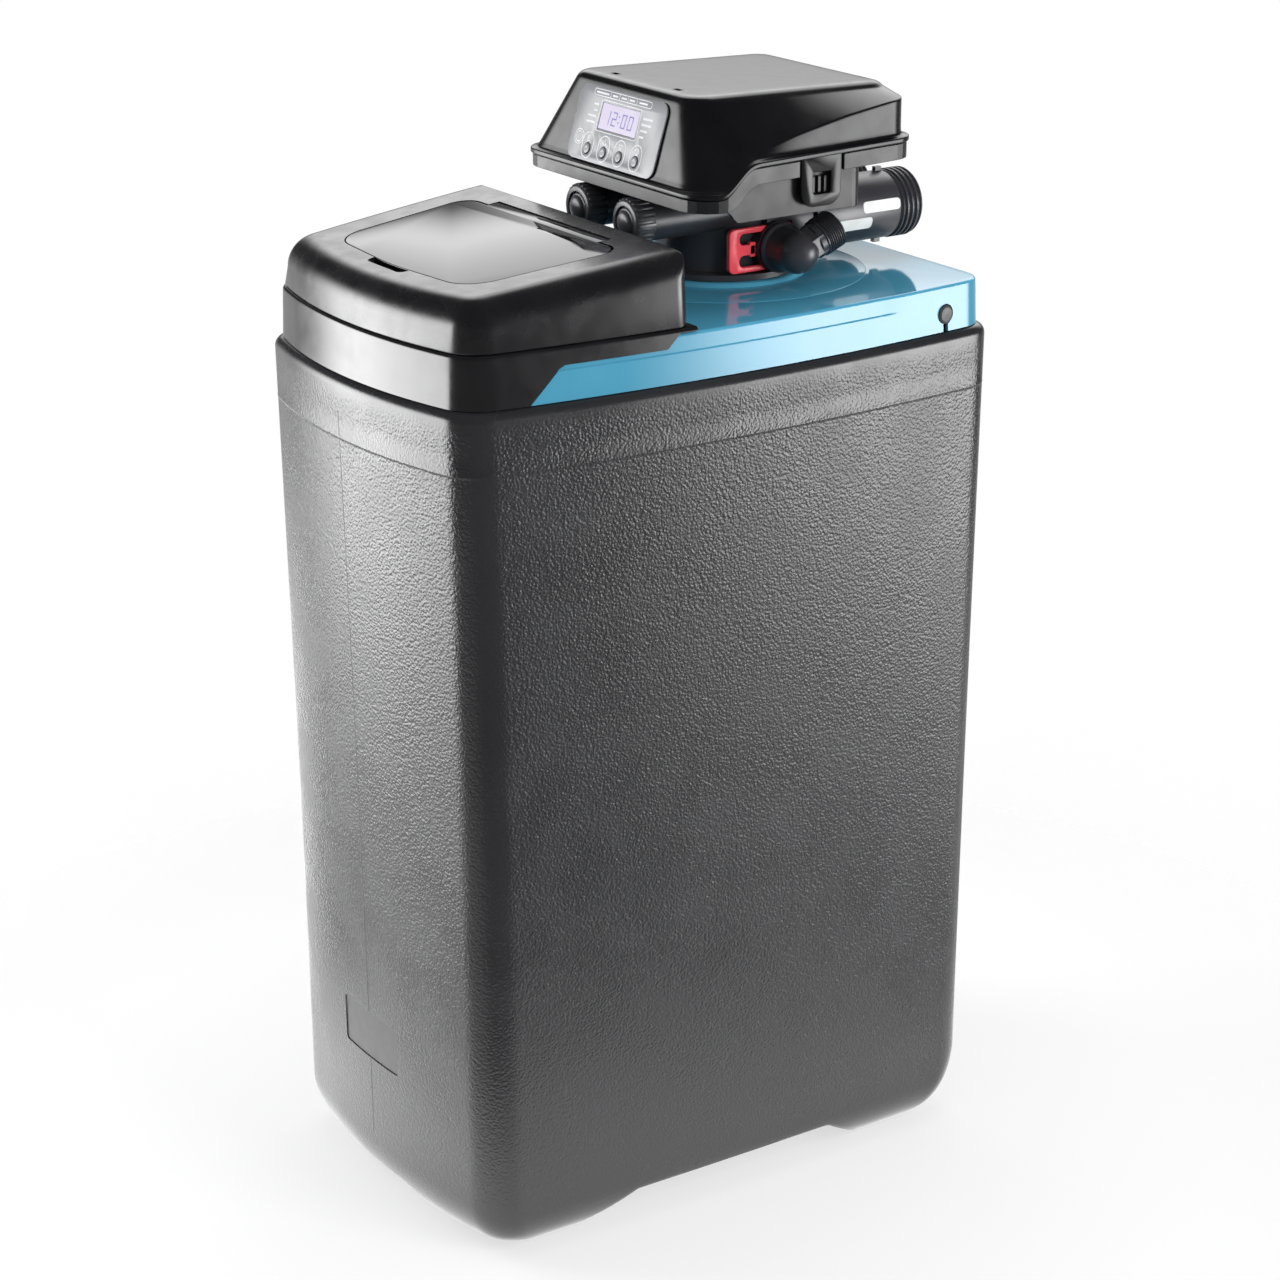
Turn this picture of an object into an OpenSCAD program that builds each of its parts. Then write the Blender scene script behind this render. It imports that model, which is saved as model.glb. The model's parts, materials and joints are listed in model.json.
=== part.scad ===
// Cabinet water softener: a resin tank with its control head stands in a tall brine cabinet,
// under a blue deck, a lift-off salt lid and a hinged fill flap.
// Origin on the floor under the middle of the cabinet. The front is -Y, +Z is up.

/* [Cabinet] */
// Depth of the cabinet, front to back
cabinet_depth = 500; // [460:1:540]
// Width of the cabinet at its rim
cabinet_width = 325; // [305:1:345]
// Height of the cabinet rim above the floor
rim_height = 680; // [640:1:720]
// Wall of the blow-moulded cabinet
cabinet_wall = 4.5; // [3:0.5:7]
// Bow of the front face at the rim
front_bow = 27; // [10:0.5:35]
// Bow of each long side at the rim
side_bow = 17.4; // [4:0.2:24]
// Radius of the rounded bottom edge at the sides
bottom_round = 38; // [24:1:46]
// How far the foot of the cabinet draws in
foot_draw = 9.7; // [0:0.1:20]
// Height of the arch between the feet on each side
side_arch = 30; // [16:1:32]
// Height of the arch between the feet at the front
front_arch = 28; // [16:1:30]

/* [Top] */
// Step of the deck inside the cabinet rim
deck_step = 5; // [3:0.5:8]
// Height of the deck above the rim
deck_height = 36; // [28:1:44]
// Skin of the deck, frame and lid
skin = 3; // [2:0.5:4]
// Height of the lid's rear edge above the floor
lid_rear_z = 772.8; // [750:0.2:800]
// Slope of the lid top, rise per millimetre to the rear
lid_slope = 0.111; // [0:0.001:0.2]
// Round-over of the lid's front and sides
lid_round = 21; // [10:1:26]

/* [Control head] */
// Distance of the valve axis behind the middle of the cabinet
valve_y = 90; // [70:1:110]
// Half the width of the cover's flange at its front
cover_half = 126; // [110:1:135]
// Top of the cover at its front edge
cover_top = 868.5; // [850:0.5:890]
// Height of the cover's parting edge at the front
parting_z = 801; // [790:1:812]
// Rise of the parting edge to the rear
parting_rise = 20; // [5:1:30]

/* [Pipes] */
// Spacing of the inlet and outlet pipes
pipe_spacing = 66; // [58:1:80]
// Outer radius of the inlet and outlet pipes
pipe_r = 26.5; // [20:0.5:30]
// Bore radius of the inlet and outlet pipes
pipe_bore = 20; // [14:0.5:24]
// Rear end of the inlet and outlet pipes
pipe_end = 244; // [225:1:248]
// Radius of the drain thread
drain_r = 15.2; // [10:0.1:18]

/* [Tank] */
// Radius of the resin tank
tank_r = 128; // [100:1:132]
// Height of the resin bed above the floor
bed_top = 430; // [250:5:560]
// Radius of the brine well
well_r = 38; // [30:1:48]

/* [Hidden] */
$fn = 48;

half_d = cabinet_depth / 2;
half_w = cabinet_width / 2;
deck_a = half_w - deck_step;
deck_b = half_d - deck_step;
deck_top = rim_height + deck_height;
front_corner = 33.5;
rear_corner = 25;
side_r = (deck_b * deck_b + side_bow * side_bow) / (2 * side_bow);
front_r = (deck_a * deck_a + front_bow * front_bow) / (2 * front_bow);
frame_top = deck_top + 3.8;
lid_front = deck_b - 3.4;
lid_rear = -40;
lid_angle = atan(lid_slope);
hinge_y = -4;
hinge_z = -3.6;
pipe_x = pipe_spacing / 2;
pipe_z = rim_height + 77.5;
barrel_z = rim_height + 91.3;
floor_z = 788.5;
drain_y = valve_y + 13.5;
drain_z = rim_height + 62.8;
drain_angle = 24;
panel = [0, 4.5, 861.4];
panel_tilt = 73;
well_at = [-72, -156];
gear_module = 1.25;
gear_z = 813;

// Points on an arc from angle a0 to a1, leaving out the first ones up to skip; each ends with sin of its angle
function arc_points(c, r, a0, a1, n, skip) = [for (i = [skip:n])
  let (t = a0 + (a1 - a0) * i / n) [c[0] + r * cos(t), c[1] + r * sin(t), sin(t)]];

// Where two circles meet, on the side nearer to a point
function meet(c0, r0, c1, r1, near) = let (
  d = norm(c1 - c0),
  e = (c1 - c0) / d,
  k = (r0 * r0 - r1 * r1 + d * d) / (2 * d),
  h = sqrt(max(0, r0 * r0 - k * k)),
  p = c0 + k * e + h * [-e[1], e[0]],
  q = c0 + k * e - h * [-e[1], e[0]]) norm(p - near) < norm(q - near) ? p : q;

function bearing(c, p) = atan2(p[1] - c[1], p[0] - c[0]);

function close_mirror(r) = concat(r, [for (i = [len(r) - 2:-1:1]) [-r[i][0], r[i][1], r[i][2]]]);

// Bowed plan with rounded corners: half width a, front at yf, rear at yr, bow radii rs and rb
function plan(a, yf, yr, rs, rb, rf, rr) = let (
  flat = 20000,
  cs = [a - rs, 0],
  cf = [0, yf + rb],
  cr = [0, yr - flat],
  pf = meet(cs, rs - rf, cf, rb - rf, [a - rf, yf + rf]),
  pr = meet(cs, rs - rr, cr, flat - rr, [a - rr, yr - rr]))
  close_mirror(concat(
    arc_points(cf, rb, -90, bearing(cf, pf), 5, 0),
    arc_points(pf, rf, bearing(cf, pf), bearing(cs, pf), 5, 1),
    arc_points(cs, rs, bearing(cs, pf), bearing(cs, pr), 8, 1),
    arc_points(pr, rr, bearing(cs, pr), bearing(cr, pr), 4, 1),
    arc_points(cr, flat, bearing(cr, pr), 90, 3, 1)));

function level(pl, z) = [for (p = pl) [p[0], p[1], z]];

function flat_points(pl) = [for (p = pl) [p[0], p[1]]];

// Cabinet plan at a height, inset by s at the sides, f at the front and r at the rear
function cabinet_ring(z, s, f, r, rf, rr) = let (
  t = pow(max(0, min(1, z / rim_height)), 1.6),
  d = foot_draw * (1 - t),
  hs = 2.8 + (side_bow - 2.8) * t,
  hf = front_bow - 3.3 * (1 - t))
  plan(half_w - d - s, -half_d + d + f, half_d - d - r, (half_d * half_d + hs * hs) / (2 * hs) - s,
    (half_w * half_w + hf * hf) / (2 * hf) - f, rf, rr);

function cabinet_plan(z, off) = cabinet_ring(z, off, off, off, max(4, front_corner - off), max(4, rear_corner - off));

// Inset of a bottom rounding of radius r at a height
function tuck(r, z) = z < r ? r - sqrt(r * r - (r - z) * (r - z)) : 0;

// Cabinet plan in the foot, where the front and rear are rounded more than the sides
function foot_plan(z) = let (off = tuck(bottom_round, z))
  cabinet_ring(z, off, tuck(bottom_round + 13, z), tuck(bottom_round + 28, z), max(28, front_corner - off),
    max(17, rear_corner - off));

// Deck plan inset by off, with its rear at yr
function deck_plan(off, yr) = plan(deck_a - off, -deck_b + off, yr, side_r - off, front_r - off,
  max(4, front_corner - off), max(4, rear_corner - off));

// Lid plan inset by d at the front and sides and by dr at the rear
function lid_plan(d, dr) = plan(deck_a - 3.4 - d, -lid_front + d, lid_rear - dr, side_r - 3.4 - d,
  front_r - 3.4 - d, max(6, 30 - d), max(5, 11 - dr));

function lid_top(y) = lid_rear_z + (y + 62) * lid_slope;

// Lid ring at round-over angle q: small radius at the rear edge, large elsewhere
function lid_ring(q, in, drop) = [for (p = lid_plan(2.4 + in + lid_round * (1 - cos(q)), 1 + in + 5 * (1 - cos(q))))
  [p[0], p[1], lid_top(p[1]) - drop - (lid_round - (lid_round - 5) * pow(max(0, p[2]), 2)) * (1 - sin(q))]];

// Rounded polygon with radii, n steps per corner and m steps per edge
function corner(v, r, i) = let (
  k = len(v),
  p = v[i],
  d1 = (v[(i + k - 1) % k] - p) / norm(v[(i + k - 1) % k] - p),
  d2 = (v[(i + 1) % k] - p) / norm(v[(i + 1) % k] - p),
  half = acos(max(-1, min(1, d1 * d2))) / 2,
  c = p + (d1 + d2) / norm(d1 + d2) * r[i] / sin(half),
  t = r[i] / tan(half)) [p + d1 * t, p + d2 * t, c, 180 - 2 * half];

function round_path(v, r, n, m) = let (cs = [for (i = [0:len(v) - 1]) corner(v, r, i)])
  [for (i = [0:len(v) - 1])
    let (q = cs[i], a = bearing(q[2], q[0]), e = cs[(i + 1) % len(v)][0])
    for (s = [0:n + m - 1])
      s <= n ? q[2] + r[i] * [cos(a + q[3] * s / n), sin(a + q[3] * s / n)]
        : q[1] + (e - q[1]) * (s - n) / m];

// Parting edge between head base and cover, by depth
function smooth(a, b, y) = let (t = max(0, min(1, (y - a) / (b - a)))) t * t * (3 - 2 * t);

function parting(y) = parting_z + parting_rise * smooth(6, 36, y) + max(0, y - 36) * 0.02;

// Crease on the cover's sides, rising to the rear
function crease(y) = lookup(y, [[-20, 809], [10, 812], [30, 822], [47, 831], [80, 840], [126, 849], [167, 855], [200, 857]]);

function roof(y) = cover_top - (y - 9) * 0.024;

function cover_plan(wf, wr, yf, yr, rf, rr) = round_path([[-wf, yf], [wf, yf], [wr, yr], [-wr, yr]], [rf, rf, rr, rr], 6, 36);

function cover_ring(pl, f) = [for (p = pl) [p[0], p[1], f(p[1])]];

// Involute gear outline
function involute(a) = tan(a) * 180 / PI - a;

function gear_points(teeth, play) = let (
  rp = gear_module * teeth / 2,
  rb = rp * cos(20),
  ra = rp + 0.9 * gear_module,
  rf = rp - 1.25 * gear_module,
  h0 = 90 / teeth - play / 2 / rp * 180 / PI + involute(20),
  r0 = max(rb, rf + 0.1),
  flank = [for (i = [0:5]) let (r = r0 + (ra - r0) * i / 5) [r, h0 - involute(acos(min(1, rb / r)))]])
  [for (k = [0:teeth - 1])
    let (c = 360 * k / teeth)
    for (q = concat([[rf, c - flank[0][1]]], [for (f = flank) [f[0], c - f[1]]],
      [for (i = [5:-1:0]) [flank[i][0], c + flank[i][1]]], [[rf, c + flank[0][1]]]))
      [q[0] * cos(q[1]), q[0] * sin(q[1])]];

// Closed skin through a list of rings, capped at both ends
module loft(rings) {
  n = len(rings[0]);
  m = len(rings);
  polyhedron(
    points = [for (r = rings) for (p = r) p],
    faces = concat(
      [[for (i = [0:n - 1]) i]],
      [[for (i = [n - 1:-1:0]) (m - 1) * n + i]],
      [for (k = [0:m - 2]) for (i = [0:n - 1]) [k * n + i, (k + 1) * n + i, (k + 1) * n + (i + 1) % n]],
      [for (k = [0:m - 2]) for (i = [0:n - 1]) [k * n + i, (k + 1) * n + (i + 1) % n, k * n + (i + 1) % n]]),
    convexity = 8);
}

module along_x(w) {
  rotate([90, 0, 90])
    linear_extrude(w, center = true)
      children();
}

module along_y(l) {
  rotate([90, 0, 0])
    linear_extrude(l, center = true)
      children();
}

module rod_x(r, x0, x1, y, z) {
  translate([x0, y, z])
    rotate([0, 90, 0])
      cylinder(h = x1 - x0, r = r);
}

module rod_y(r, y0, y1, x, z) {
  translate([x, y0, z])
    rotate([-90, 0, 0])
      cylinder(h = y1 - y0, r = r);
}

module on_lid() {
  translate([0, -62, lid_rear_z])
    rotate([lid_angle, 0, 0])
      children();
}

module on_panel() {
  translate(panel)
    rotate([panel_tilt, 0, 0])
      children();
}

// Front region that belongs to the lid frame, seen from the side
module frame_side(gap) {
  polygon([[-300, 640], [-216 + gap, 640 - gap], [-152 + gap, 704 - gap], [-147 + gap, 706.5 - gap],
    [-63 + gap, 706.5 - gap], [-52 + gap, 717 - gap], [-37 + gap, 717 - gap], [-37 + gap, 760], [-300, 760]]);
}

// Tall cabinet with rounded foot, rim and corner feet
module cabinet_shell() {
  outer = concat(
    [for (q = [0:15:90]) level(foot_plan(bottom_round * (1 - cos(q))), bottom_round * (1 - cos(q)))],
    [for (z = [bottom_round + 13, bottom_round + 28]) level(foot_plan(z), z)],
    [for (z = [120, 220, 330, 440, 540, 620, rim_height - 8]) level(cabinet_plan(z, 0), z)],
    [for (q = [22.5:22.5:90]) level(cabinet_plan(rim_height - 8 + 8 * sin(q), 8 * (1 - cos(q))), rim_height - 8 + 8 * sin(q))]);
  inner = concat(
    [level(cabinet_plan(rim_height, 15), rim_height), level(cabinet_plan(rim_height - 6, 15), rim_height - 6)],
    [for (z = [rim_height - 18, 540, 440, 330, 220, 120]) level(cabinet_plan(z, cabinet_wall), z)],
    [level(cabinet_ring(52, cabinet_wall, cabinet_wall + 1, cabinet_wall + 3, 27, 20), 52)],
    [level(cabinet_ring(27, cabinet_wall + 9, cabinet_wall + 9, cabinet_wall + 15, 20, 12), 27)],
    [level(cabinet_plan(18, cabinet_wall + 30), 18)]);
  color([0.25, 0.25, 0.26])
    difference() {
      loft(concat(outer, inner));
      along_x(400)
        polygon([[-126, -1], [126, -1], [112, 13], [-112, 13]]);
      along_y(600)
        polygon([[-70, -1], [70, -1], [66, 6], [-66, 6]]);
      for (s = [-1, 1])
        intersection() {
          along_x(400)
            polygon([[-150, -1], [146, -1], [98, side_arch], [-88, side_arch]]);
          along_y(600)
            polygon([[s * 170, -1], [s * 170, side_arch], [s * 151, side_arch], [s * 106, -1]]);
        }
      intersection() {
        along_y(600)
          polygon([[-80, -1], [80, -1], [35, front_arch], [-35, front_arch]]);
        along_x(400) {
          polygon([[-270, -1], [-270, front_arch], [-233, front_arch], [-188, -1]]);
          polygon([[270, -1], [270, 24], [226, 24], [182, -1]]);
        }
      }
    }
}

// Profile of the deck and frame skins: inset and height of each ring
module top_skin(top, edge) {
  outer = [[0, rim_height + 0.5], [0.9, top - 14], [1.4, top - edge], [1.4 + edge * 0.29, top - edge * 0.29], [1.4 + edge, top]];
  inner = [[edge + 4, top - skin], [skin + 2, top - skin - 2], [skin + 0.9, top - 14], [skin, rim_height + 0.5]];
  loft([for (q = concat(inner, outer)) level(deck_plan(q[0], deck_b - q[0]), q[1])]);
}

// Blue deck with neck opening, collar, low round plateau and the keyhole of the bung
module deck() {
  color([0.36, 0.68, 0.80])
    difference() {
      union() {
        difference() {
          top_skin(deck_top, 2.5);
          along_x(400)
            frame_side(0.35);
        }
        translate([0, valve_y, deck_top - 1])
          cylinder(h = 1.3, r = 114, $fn = 96);
        translate([0, valve_y, 0])
          rotate_extrude($fn = 96)
            polygon([[57, deck_top - 1], [67, deck_top - 1], [67, deck_top + 2], [65.5, deck_top + 3.4], [57, deck_top + 3.4]]);
      }
      translate([0, valve_y, deck_top - 20])
        cylinder(h = 40, r = 59, $fn = 96);
      translate([-146, -62, 700])
        cube([292, 9.4, 30]);
      translate([140, 199, 694])
        rotate([0, 90, 6.4])
          cylinder(h = 30, r = 7.9, center = true);
      translate([140, 199, 684])
        rotate([0, 0, 6.4])
          cube([30, 5, 14], center = true);
    }
}

// Black skirt with the ledge that the lid stands on and the salt opening
module lid_frame() {
  color([0.09, 0.09, 0.10]) {
    difference() {
      intersection() {
        top_skin(frame_top, 3);
        along_x(400)
          frame_side(0);
      }
      translate([0, 0, rim_height])
        linear_extrude(80)
          polygon(flat_points(deck_plan(17, -56)));
    }
    difference() {
      translate([0, 0, frame_top - 16])
        linear_extrude(15)
          polygon(flat_points(deck_plan(14.5, -53.5)));
      translate([0, 0, frame_top - 30])
        linear_extrude(60)
          polygon(flat_points(deck_plan(17, -56)));
    }
  }
}

// Rubber bung in the deck's keyhole
module overflow_plug() {
  color([0.20, 0.20, 0.21])
    translate([145.4, 199, 694])
      rotate([0, 90, 6.4])
        rotate_extrude()
          polygon([[0, -8], [7, -8], [7, -0.5], [7.5, 0], [7.3, 1], [5.5, 1.9], [0, 2.4]]);
}

// Outline of the fill flap on the lid's top plane
function flap_path(g) = round_path([[-109 - g, -10.8 + 3 * g], [-97 - g, -134 - g], [0, -141 - g], [97 + g, -134 - g],
  [109 + g, -10.8 + 3 * g]],
  [16, 30, 300, 30, 16], 6, 2);

// Lid with a flap recess, fill opening, hinge trough, pin lugs and finger scoop
module salt_lid() {
  angles = [0, 22.5, 45, 67.5, 90];
  rings = concat(
    [for (i = [4:-1:0]) lid_ring(angles[i], skin, 6)],
    [level(lid_plan(skin, skin), frame_top + 0.5)],
    [level(lid_plan(0, 0), frame_top + 0.5)],
    [for (a = angles) lid_ring(a, 0, 0)]);
  color([0.09, 0.09, 0.10])
    difference() {
      union() {
        loft(rings);
        on_lid()
          for (s = [-1, 1])
            translate([s * 82.2, hinge_y, -6.5])
              cube([6, 7, 7], center = true);
      }
      on_lid() {
        rod_x(1.54, -87, 87, hinge_y, hinge_z);
        translate([0, 0, -2.9])
          linear_extrude(10)
            polygon(flap_path(0.6));
        translate([0, 0, -30])
          linear_extrude(60)
            polygon([[-92, -20], [-80, -122], [80, -122], [92, -20]]);
        translate([-79, -12, -20])
          cube([158, 12.8, 40]);
        translate([-23, 0, 0])
          rod_x(9, 0, 46, -140, 4.4);
      }
    }
}

// Flap plate with its hinge barrel
module fill_flap() {
  color([0.05, 0.05, 0.055])
    on_lid()
      difference() {
        union() {
          translate([0, 0, -2.6])
            linear_extrude(2.6)
              polygon(flap_path(0));
          translate([-78, -12, -2.6])
            cube([156, 10.4, 2.6]);
          rod_x(3.2, -78, 78, hinge_y, hinge_z);
        }
        rod_x(1.55, -90, 90, hinge_y, hinge_z);
      }
}

module flap_pin() {
  color([0.7, 0.7, 0.72])
    on_lid()
      rod_x(1.5, -85, 85, hinge_y, hinge_z);
}

// Valve body: foot ring, drum with disc chamber, two front barrels, rear stubs, drain and brine bosses
module valve_body() {
  color([0.06, 0.06, 0.065])
    difference() {
      union() {
        translate([0, valve_y, deck_top + 3.8])
          cylinder(h = 4.6, r = 62, $fn = 96);
        translate([0, valve_y, deck_top + 3.8])
          cylinder(h = floor_z - deck_top - 4.1, r = 50, $fn = 96);
        translate([0, valve_y, rim_height + 8])
          cylinder(h = 40, r = 32, $fn = 64);
        for (s = [-1, 1]) {
          rod_y(16, -12, 82, s * pipe_x, barrel_z);
          rod_y(pipe_r - 3, 95, 139, s * pipe_x, pipe_z);
        }
        rod_x(20, 20, 61, drain_y, drain_z);
        rod_x(11, -62, -20, drain_y, drain_z);
      }
      translate([0, valve_y, 741])
        cylinder(h = 38, r = 34, $fn = 64);
      translate([0, valve_y, 770])
        cylinder(h = 40, r = 6.06);
      translate([0, valve_y, rim_height])
        cylinder(h = 50, r = 14.2);
      for (s = [-1, 1]) {
        rod_y(12, -20, 46, s * pipe_x, barrel_z);
        rod_y(pipe_bore - 3, 122, 150, s * pipe_x, pipe_z);
        for (d = [-29.7, 29.7])
          translate([s * 29.7, valve_y + d, floor_z - 14])
            cylinder(h = 30, r = 2.6);
      }
      rod_x(15, 44, 70, drain_y, drain_z);
      rod_x(7, -70, -40, drain_y, drain_z);
      for (s = [-1, 1])
        translate([55.5, drain_y - 8, drain_z + s * 15.25])
          cube([5.2, 45, 5.5], center = true);
    }
}

// Knurled screw ring on a front barrel
module cap_ring(x) {
  translate([x, 0, barrel_z])
    rotate([90, 0, 0])
      difference() {
        translate([0, 0, 3])
          linear_extrude(17)
            polygon([for (i = [0:71]) let (r = i % 3 == 0 ? 17.6 : 18.4) [r * cos(i * 5), r * sin(i * 5)]]);
        translate([0, 0, 0])
          cylinder(h = 17, r = 16.4);
        cylinder(h = 40, r = 12);
      }
}

module left_cap() {
  color([0.07, 0.07, 0.075])
    cap_ring(-pipe_x);
}

module right_cap() {
  color([0.07, 0.07, 0.075])
    cap_ring(pipe_x);
}

// Domed plug behind a screw ring
module dome_plug(x) {
  translate([x, 0, barrel_z])
    rotate([90, 0, 0])
      rotate_extrude()
        polygon([[0, 6], [11.8, 6], [11.8, 12.2], [15.8, 12.2], [15.8, 16.6], [11.5, 16.6], [11.2, 19], [9.6, 21], [6.5, 22.4], [3, 23], [0, 23.1]]);
}

module left_plug() {
  color([0.10, 0.10, 0.105])
    dome_plug(-pipe_x);
}

module right_plug() {
  color([0.10, 0.10, 0.105])
    dome_plug(pipe_x);
}

// Rear pipe with a raised threaded end
module pipe(x) {
  difference() {
    union() {
      rod_y(pipe_r, 100, pipe_end, x, pipe_z);
      rod_y(pipe_r + 0.6, pipe_end - 22, pipe_end, x, pipe_z);
      translate([x - 2, 214, pipe_z - pipe_r - 3.5])
        cube([4, 6, 6]);
      translate([x - 2, 214, pipe_z + pipe_r - 2.5])
        cube([4, 6, 6]);
    }
    rod_y(pipe_bore, 90, 260, x, pipe_z);
    rod_y(pipe_r - 2.8, 90, 139.3, x, pipe_z);
    translate([0, valve_y, 700])
      cylinder(h = 120, r = 50.3, $fn = 96);
    translate([-100, 60, 700])
      cube([200, 57.5, 120]);
    rod_x(20.3, 15, 61.3, drain_y, drain_z);
  }
}

module inlet_pipe() {
  color([0.06, 0.06, 0.065])
    pipe(-pipe_x);
}

// The outlet pipe also carries the axle of the meter turbine
module outlet_pipe() {
  color([0.06, 0.06, 0.065]) {
    pipe(pipe_x);
    difference() {
      translate([pipe_x - 21, 190, pipe_z - 2])
        cube([42, 3, 4]);
      rod_y(pipe_bore + 4, 180, 200, pipe_x, pipe_z - 60);
    }
    rod_y(1.5, 191, 214, pipe_x, pipe_z);
  }
}

// Flow-meter wheel with six blades
module meter_turbine() {
  color([0.85, 0.85, 0.86])
    difference() {
      union() {
        rod_y(5, 197, 212, pipe_x, pipe_z);
        for (i = [0:5])
          translate([pipe_x, 204.5, pipe_z])
            rotate([0, i * 60, 0])
              translate([4, 0, 0])
                rotate([35, 0, 0])
                  translate([0, -6, -0.6])
                    cube([14, 12, 1.2]);
      }
      rod_y(1.56, 180, 220, pipe_x, pipe_z);
    }
}

// Drain elbow: spigot with seal and clip grooves, collar, bend, wrench flats and threaded end
module drain_elbow() {
  color([0.06, 0.06, 0.065])
    translate([0, drain_y, drain_z])
      difference() {
        union() {
          translate([45, 0, 0])
            rotate([0, 90, 0])
              rotate_extrude()
                polygon([[0, 0], [14.7, 0], [14.7, 1.5], [11.8, 1.5], [11.8, 4.9], [14.7, 4.9], [14.7, 7.6], [12.1, 7.6],
                  [12.1, 13.4], [14.7, 13.4], [14.7, 17.3], [19.5, 17.3], [19.5, 19.6], [18.3, 20.6], [16.5, 20.6],
                  [16.5, 41.2], [15.6, 46], [13, 50.6], [8.5, 54.2], [3, 55.4], [0, 55.4]]);
          translate([84, 0, 0])
            rotate([drain_angle - 90, 0, 0]) {
              rotate([0, 0, 30])
                cylinder(h = 22, r = 14.6, $fn = 6);
              translate([0, 0, 20])
                cylinder(h = 17.5, r = drain_r);
            }
        }
        rod_x(8.4, 30, 91, 0, 0);
        translate([84, 0, 0])
          rotate([drain_angle - 90, 0, 0])
            cylinder(h = 80, r = 9);
      }
}

module drain_seal() {
  color([0.03, 0.03, 0.03])
    translate([48.2, drain_y, drain_z])
      rotate([0, 90, 0])
        rotate_extrude()
          translate([13.4, 0])
            circle(r = 1.5, $fn = 24);
}

// Red retaining clip: back bar, two arms and a short tongue with a crossbar
module drain_clip() {
  color([0.82, 0.13, 0.18])
    translate([55.5, drain_y, drain_z])
      along_x(4.6)
        union() {
          difference() {
            polygon(round_path([[-44.5, -17.2], [13, -17.2], [13, 17.2], [-44.5, 17.2]], [5, 1, 1, 5], 5, 1));
            polygon(round_path([[-35, -13], [30, -13], [30, -4], [-35, -4]], [4.3, 1, 1, 4.3], 5, 1));
            polygon(round_path([[-35, 4], [30, 4], [30, 13], [-35, 13]], [4.3, 1, 1, 4.3], 5, 1));
            polygon([[-20.3, -13], [30, -13], [30, 13], [-20.3, 13]]);
          }
          polygon([[-25.4, -5.6], [-20.3, -5.6], [-20.3, 5.6], [-25.4, 5.6]]);
        }
}

// Hex nut with a short stub for the brine line
module brine_fitting() {
  color([0.06, 0.06, 0.065])
    difference() {
      union() {
        rod_x(6.8, -92, -46, drain_y, drain_z);
        translate([-76, drain_y, drain_z])
          rotate([0, 90, 0])
            cylinder(h = 13, r = 12, $fn = 6);
      }
      rod_x(4.8, -100, -40, drain_y, drain_z);
    }
}

module neck_seal() {
  color([0.03, 0.03, 0.03])
    translate([0, valve_y, deck_top + 1.7])
      rotate_extrude($fn = 64)
        translate([37, 0])
          circle(r = 2, $fn = 24);
}

// Underside of the tray with its rounded rear end, and of the flange around it, by depth
function tray_low(y) = floor_z - 9 * smooth(18, 28, y) + (y > 136 ? 8 - sqrt(max(0, 64 - (y - 136) * (y - 136))) : 0);

function flange_low(y) = parting(y - 4) - 10 - 2.5 * smooth(6, 36, y);

// Side view of the head base between an underside and the parting edge
module base_side(under) {
  polygon(concat([for (y = [-30:3:210]) [y, parting(y) - 0.8]], [for (y = [210:-3:-30]) [y, under(y)]]));
}

// Lower half of the control head: tray, stepped flange, latch notches and catches
module head_base() {
  color([0.10, 0.10, 0.105])
    difference() {
      union() {
        difference() {
          intersection() {
            translate([0, 0, 770])
              linear_extrude(70)
                polygon(round_path([[-113, -1.5], [113, -1.5], [113, 144], [-113, 144]], [16, 16, 12, 12], 5, 1));
            along_x(300)
              base_side(function(y) tray_low(y));
          }
          translate([0, 0, floor_z + skin])
            linear_extrude(60)
              polygon(round_path([[-110, 1.5], [110, 1.5], [110, 141], [-110, 141]], [13, 13, 9, 9], 5, 1));
          translate([0, 0, 740])
            linear_extrude(floor_z - 740)
              polygon(round_path([[-110, 1.5], [110, 1.5], [110, 141], [-110, 141]], [13, 13, 9, 9], 5, 1));
          translate([-109.5, 125, 770])
            cube([219, 30, floor_z - 770]);
        }
        difference() {
          intersection() {
            translate([0, 0, 770])
              linear_extrude(80)
                polygon(round_path([[-cover_half + 1.5, -14.5], [cover_half - 1.5, -14.5], [116.5, 189.5], [-116.5, 189.5]], [25, 25, 19, 19], 5, 1));
            along_x(300)
              base_side(function(y) flange_low(y));
          }
          translate([0, 0, 760])
            linear_extrude(90)
              polygon(round_path([[-111, 0.5], [111, 0.5], [107, 181], [-107, 181]], [16, 16, 12, 12], 5, 1));
          for (s = [-1, 1])
            translate([s * 124, 98.5, 800])
              cube([20, 42, 80], center = true);
        }
        for (s = [-1, 1])
          for (y = [93.5, 99, 104.5])
            translate([s * 114.2, y, 801])
              cube([4, 2.4, 12], center = true);
      }
      translate([0, valve_y, 780])
        cylinder(h = 20, r = 9);
      for (s = [-1, 1])
        for (d = [-29.7, 29.7])
          translate([s * 29.7, valve_y + d, 780])
            cylinder(h = 30, r = 2.7);
    }
}

// Pan-head screws through the floor of the head base
module head_screws() {
  color([0.72, 0.73, 0.75])
    for (s = [-1, 1])
      for (d = [-29.7, 29.7])
        translate([s * 29.7, valve_y + d, 0]) {
          translate([0, 0, floor_z - 12])
            cylinder(h = 16, r = 2.5);
          translate([0, 0, floor_z + skin])
            cylinder(h = 3.2, r = 4.8);
        }
}

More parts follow.
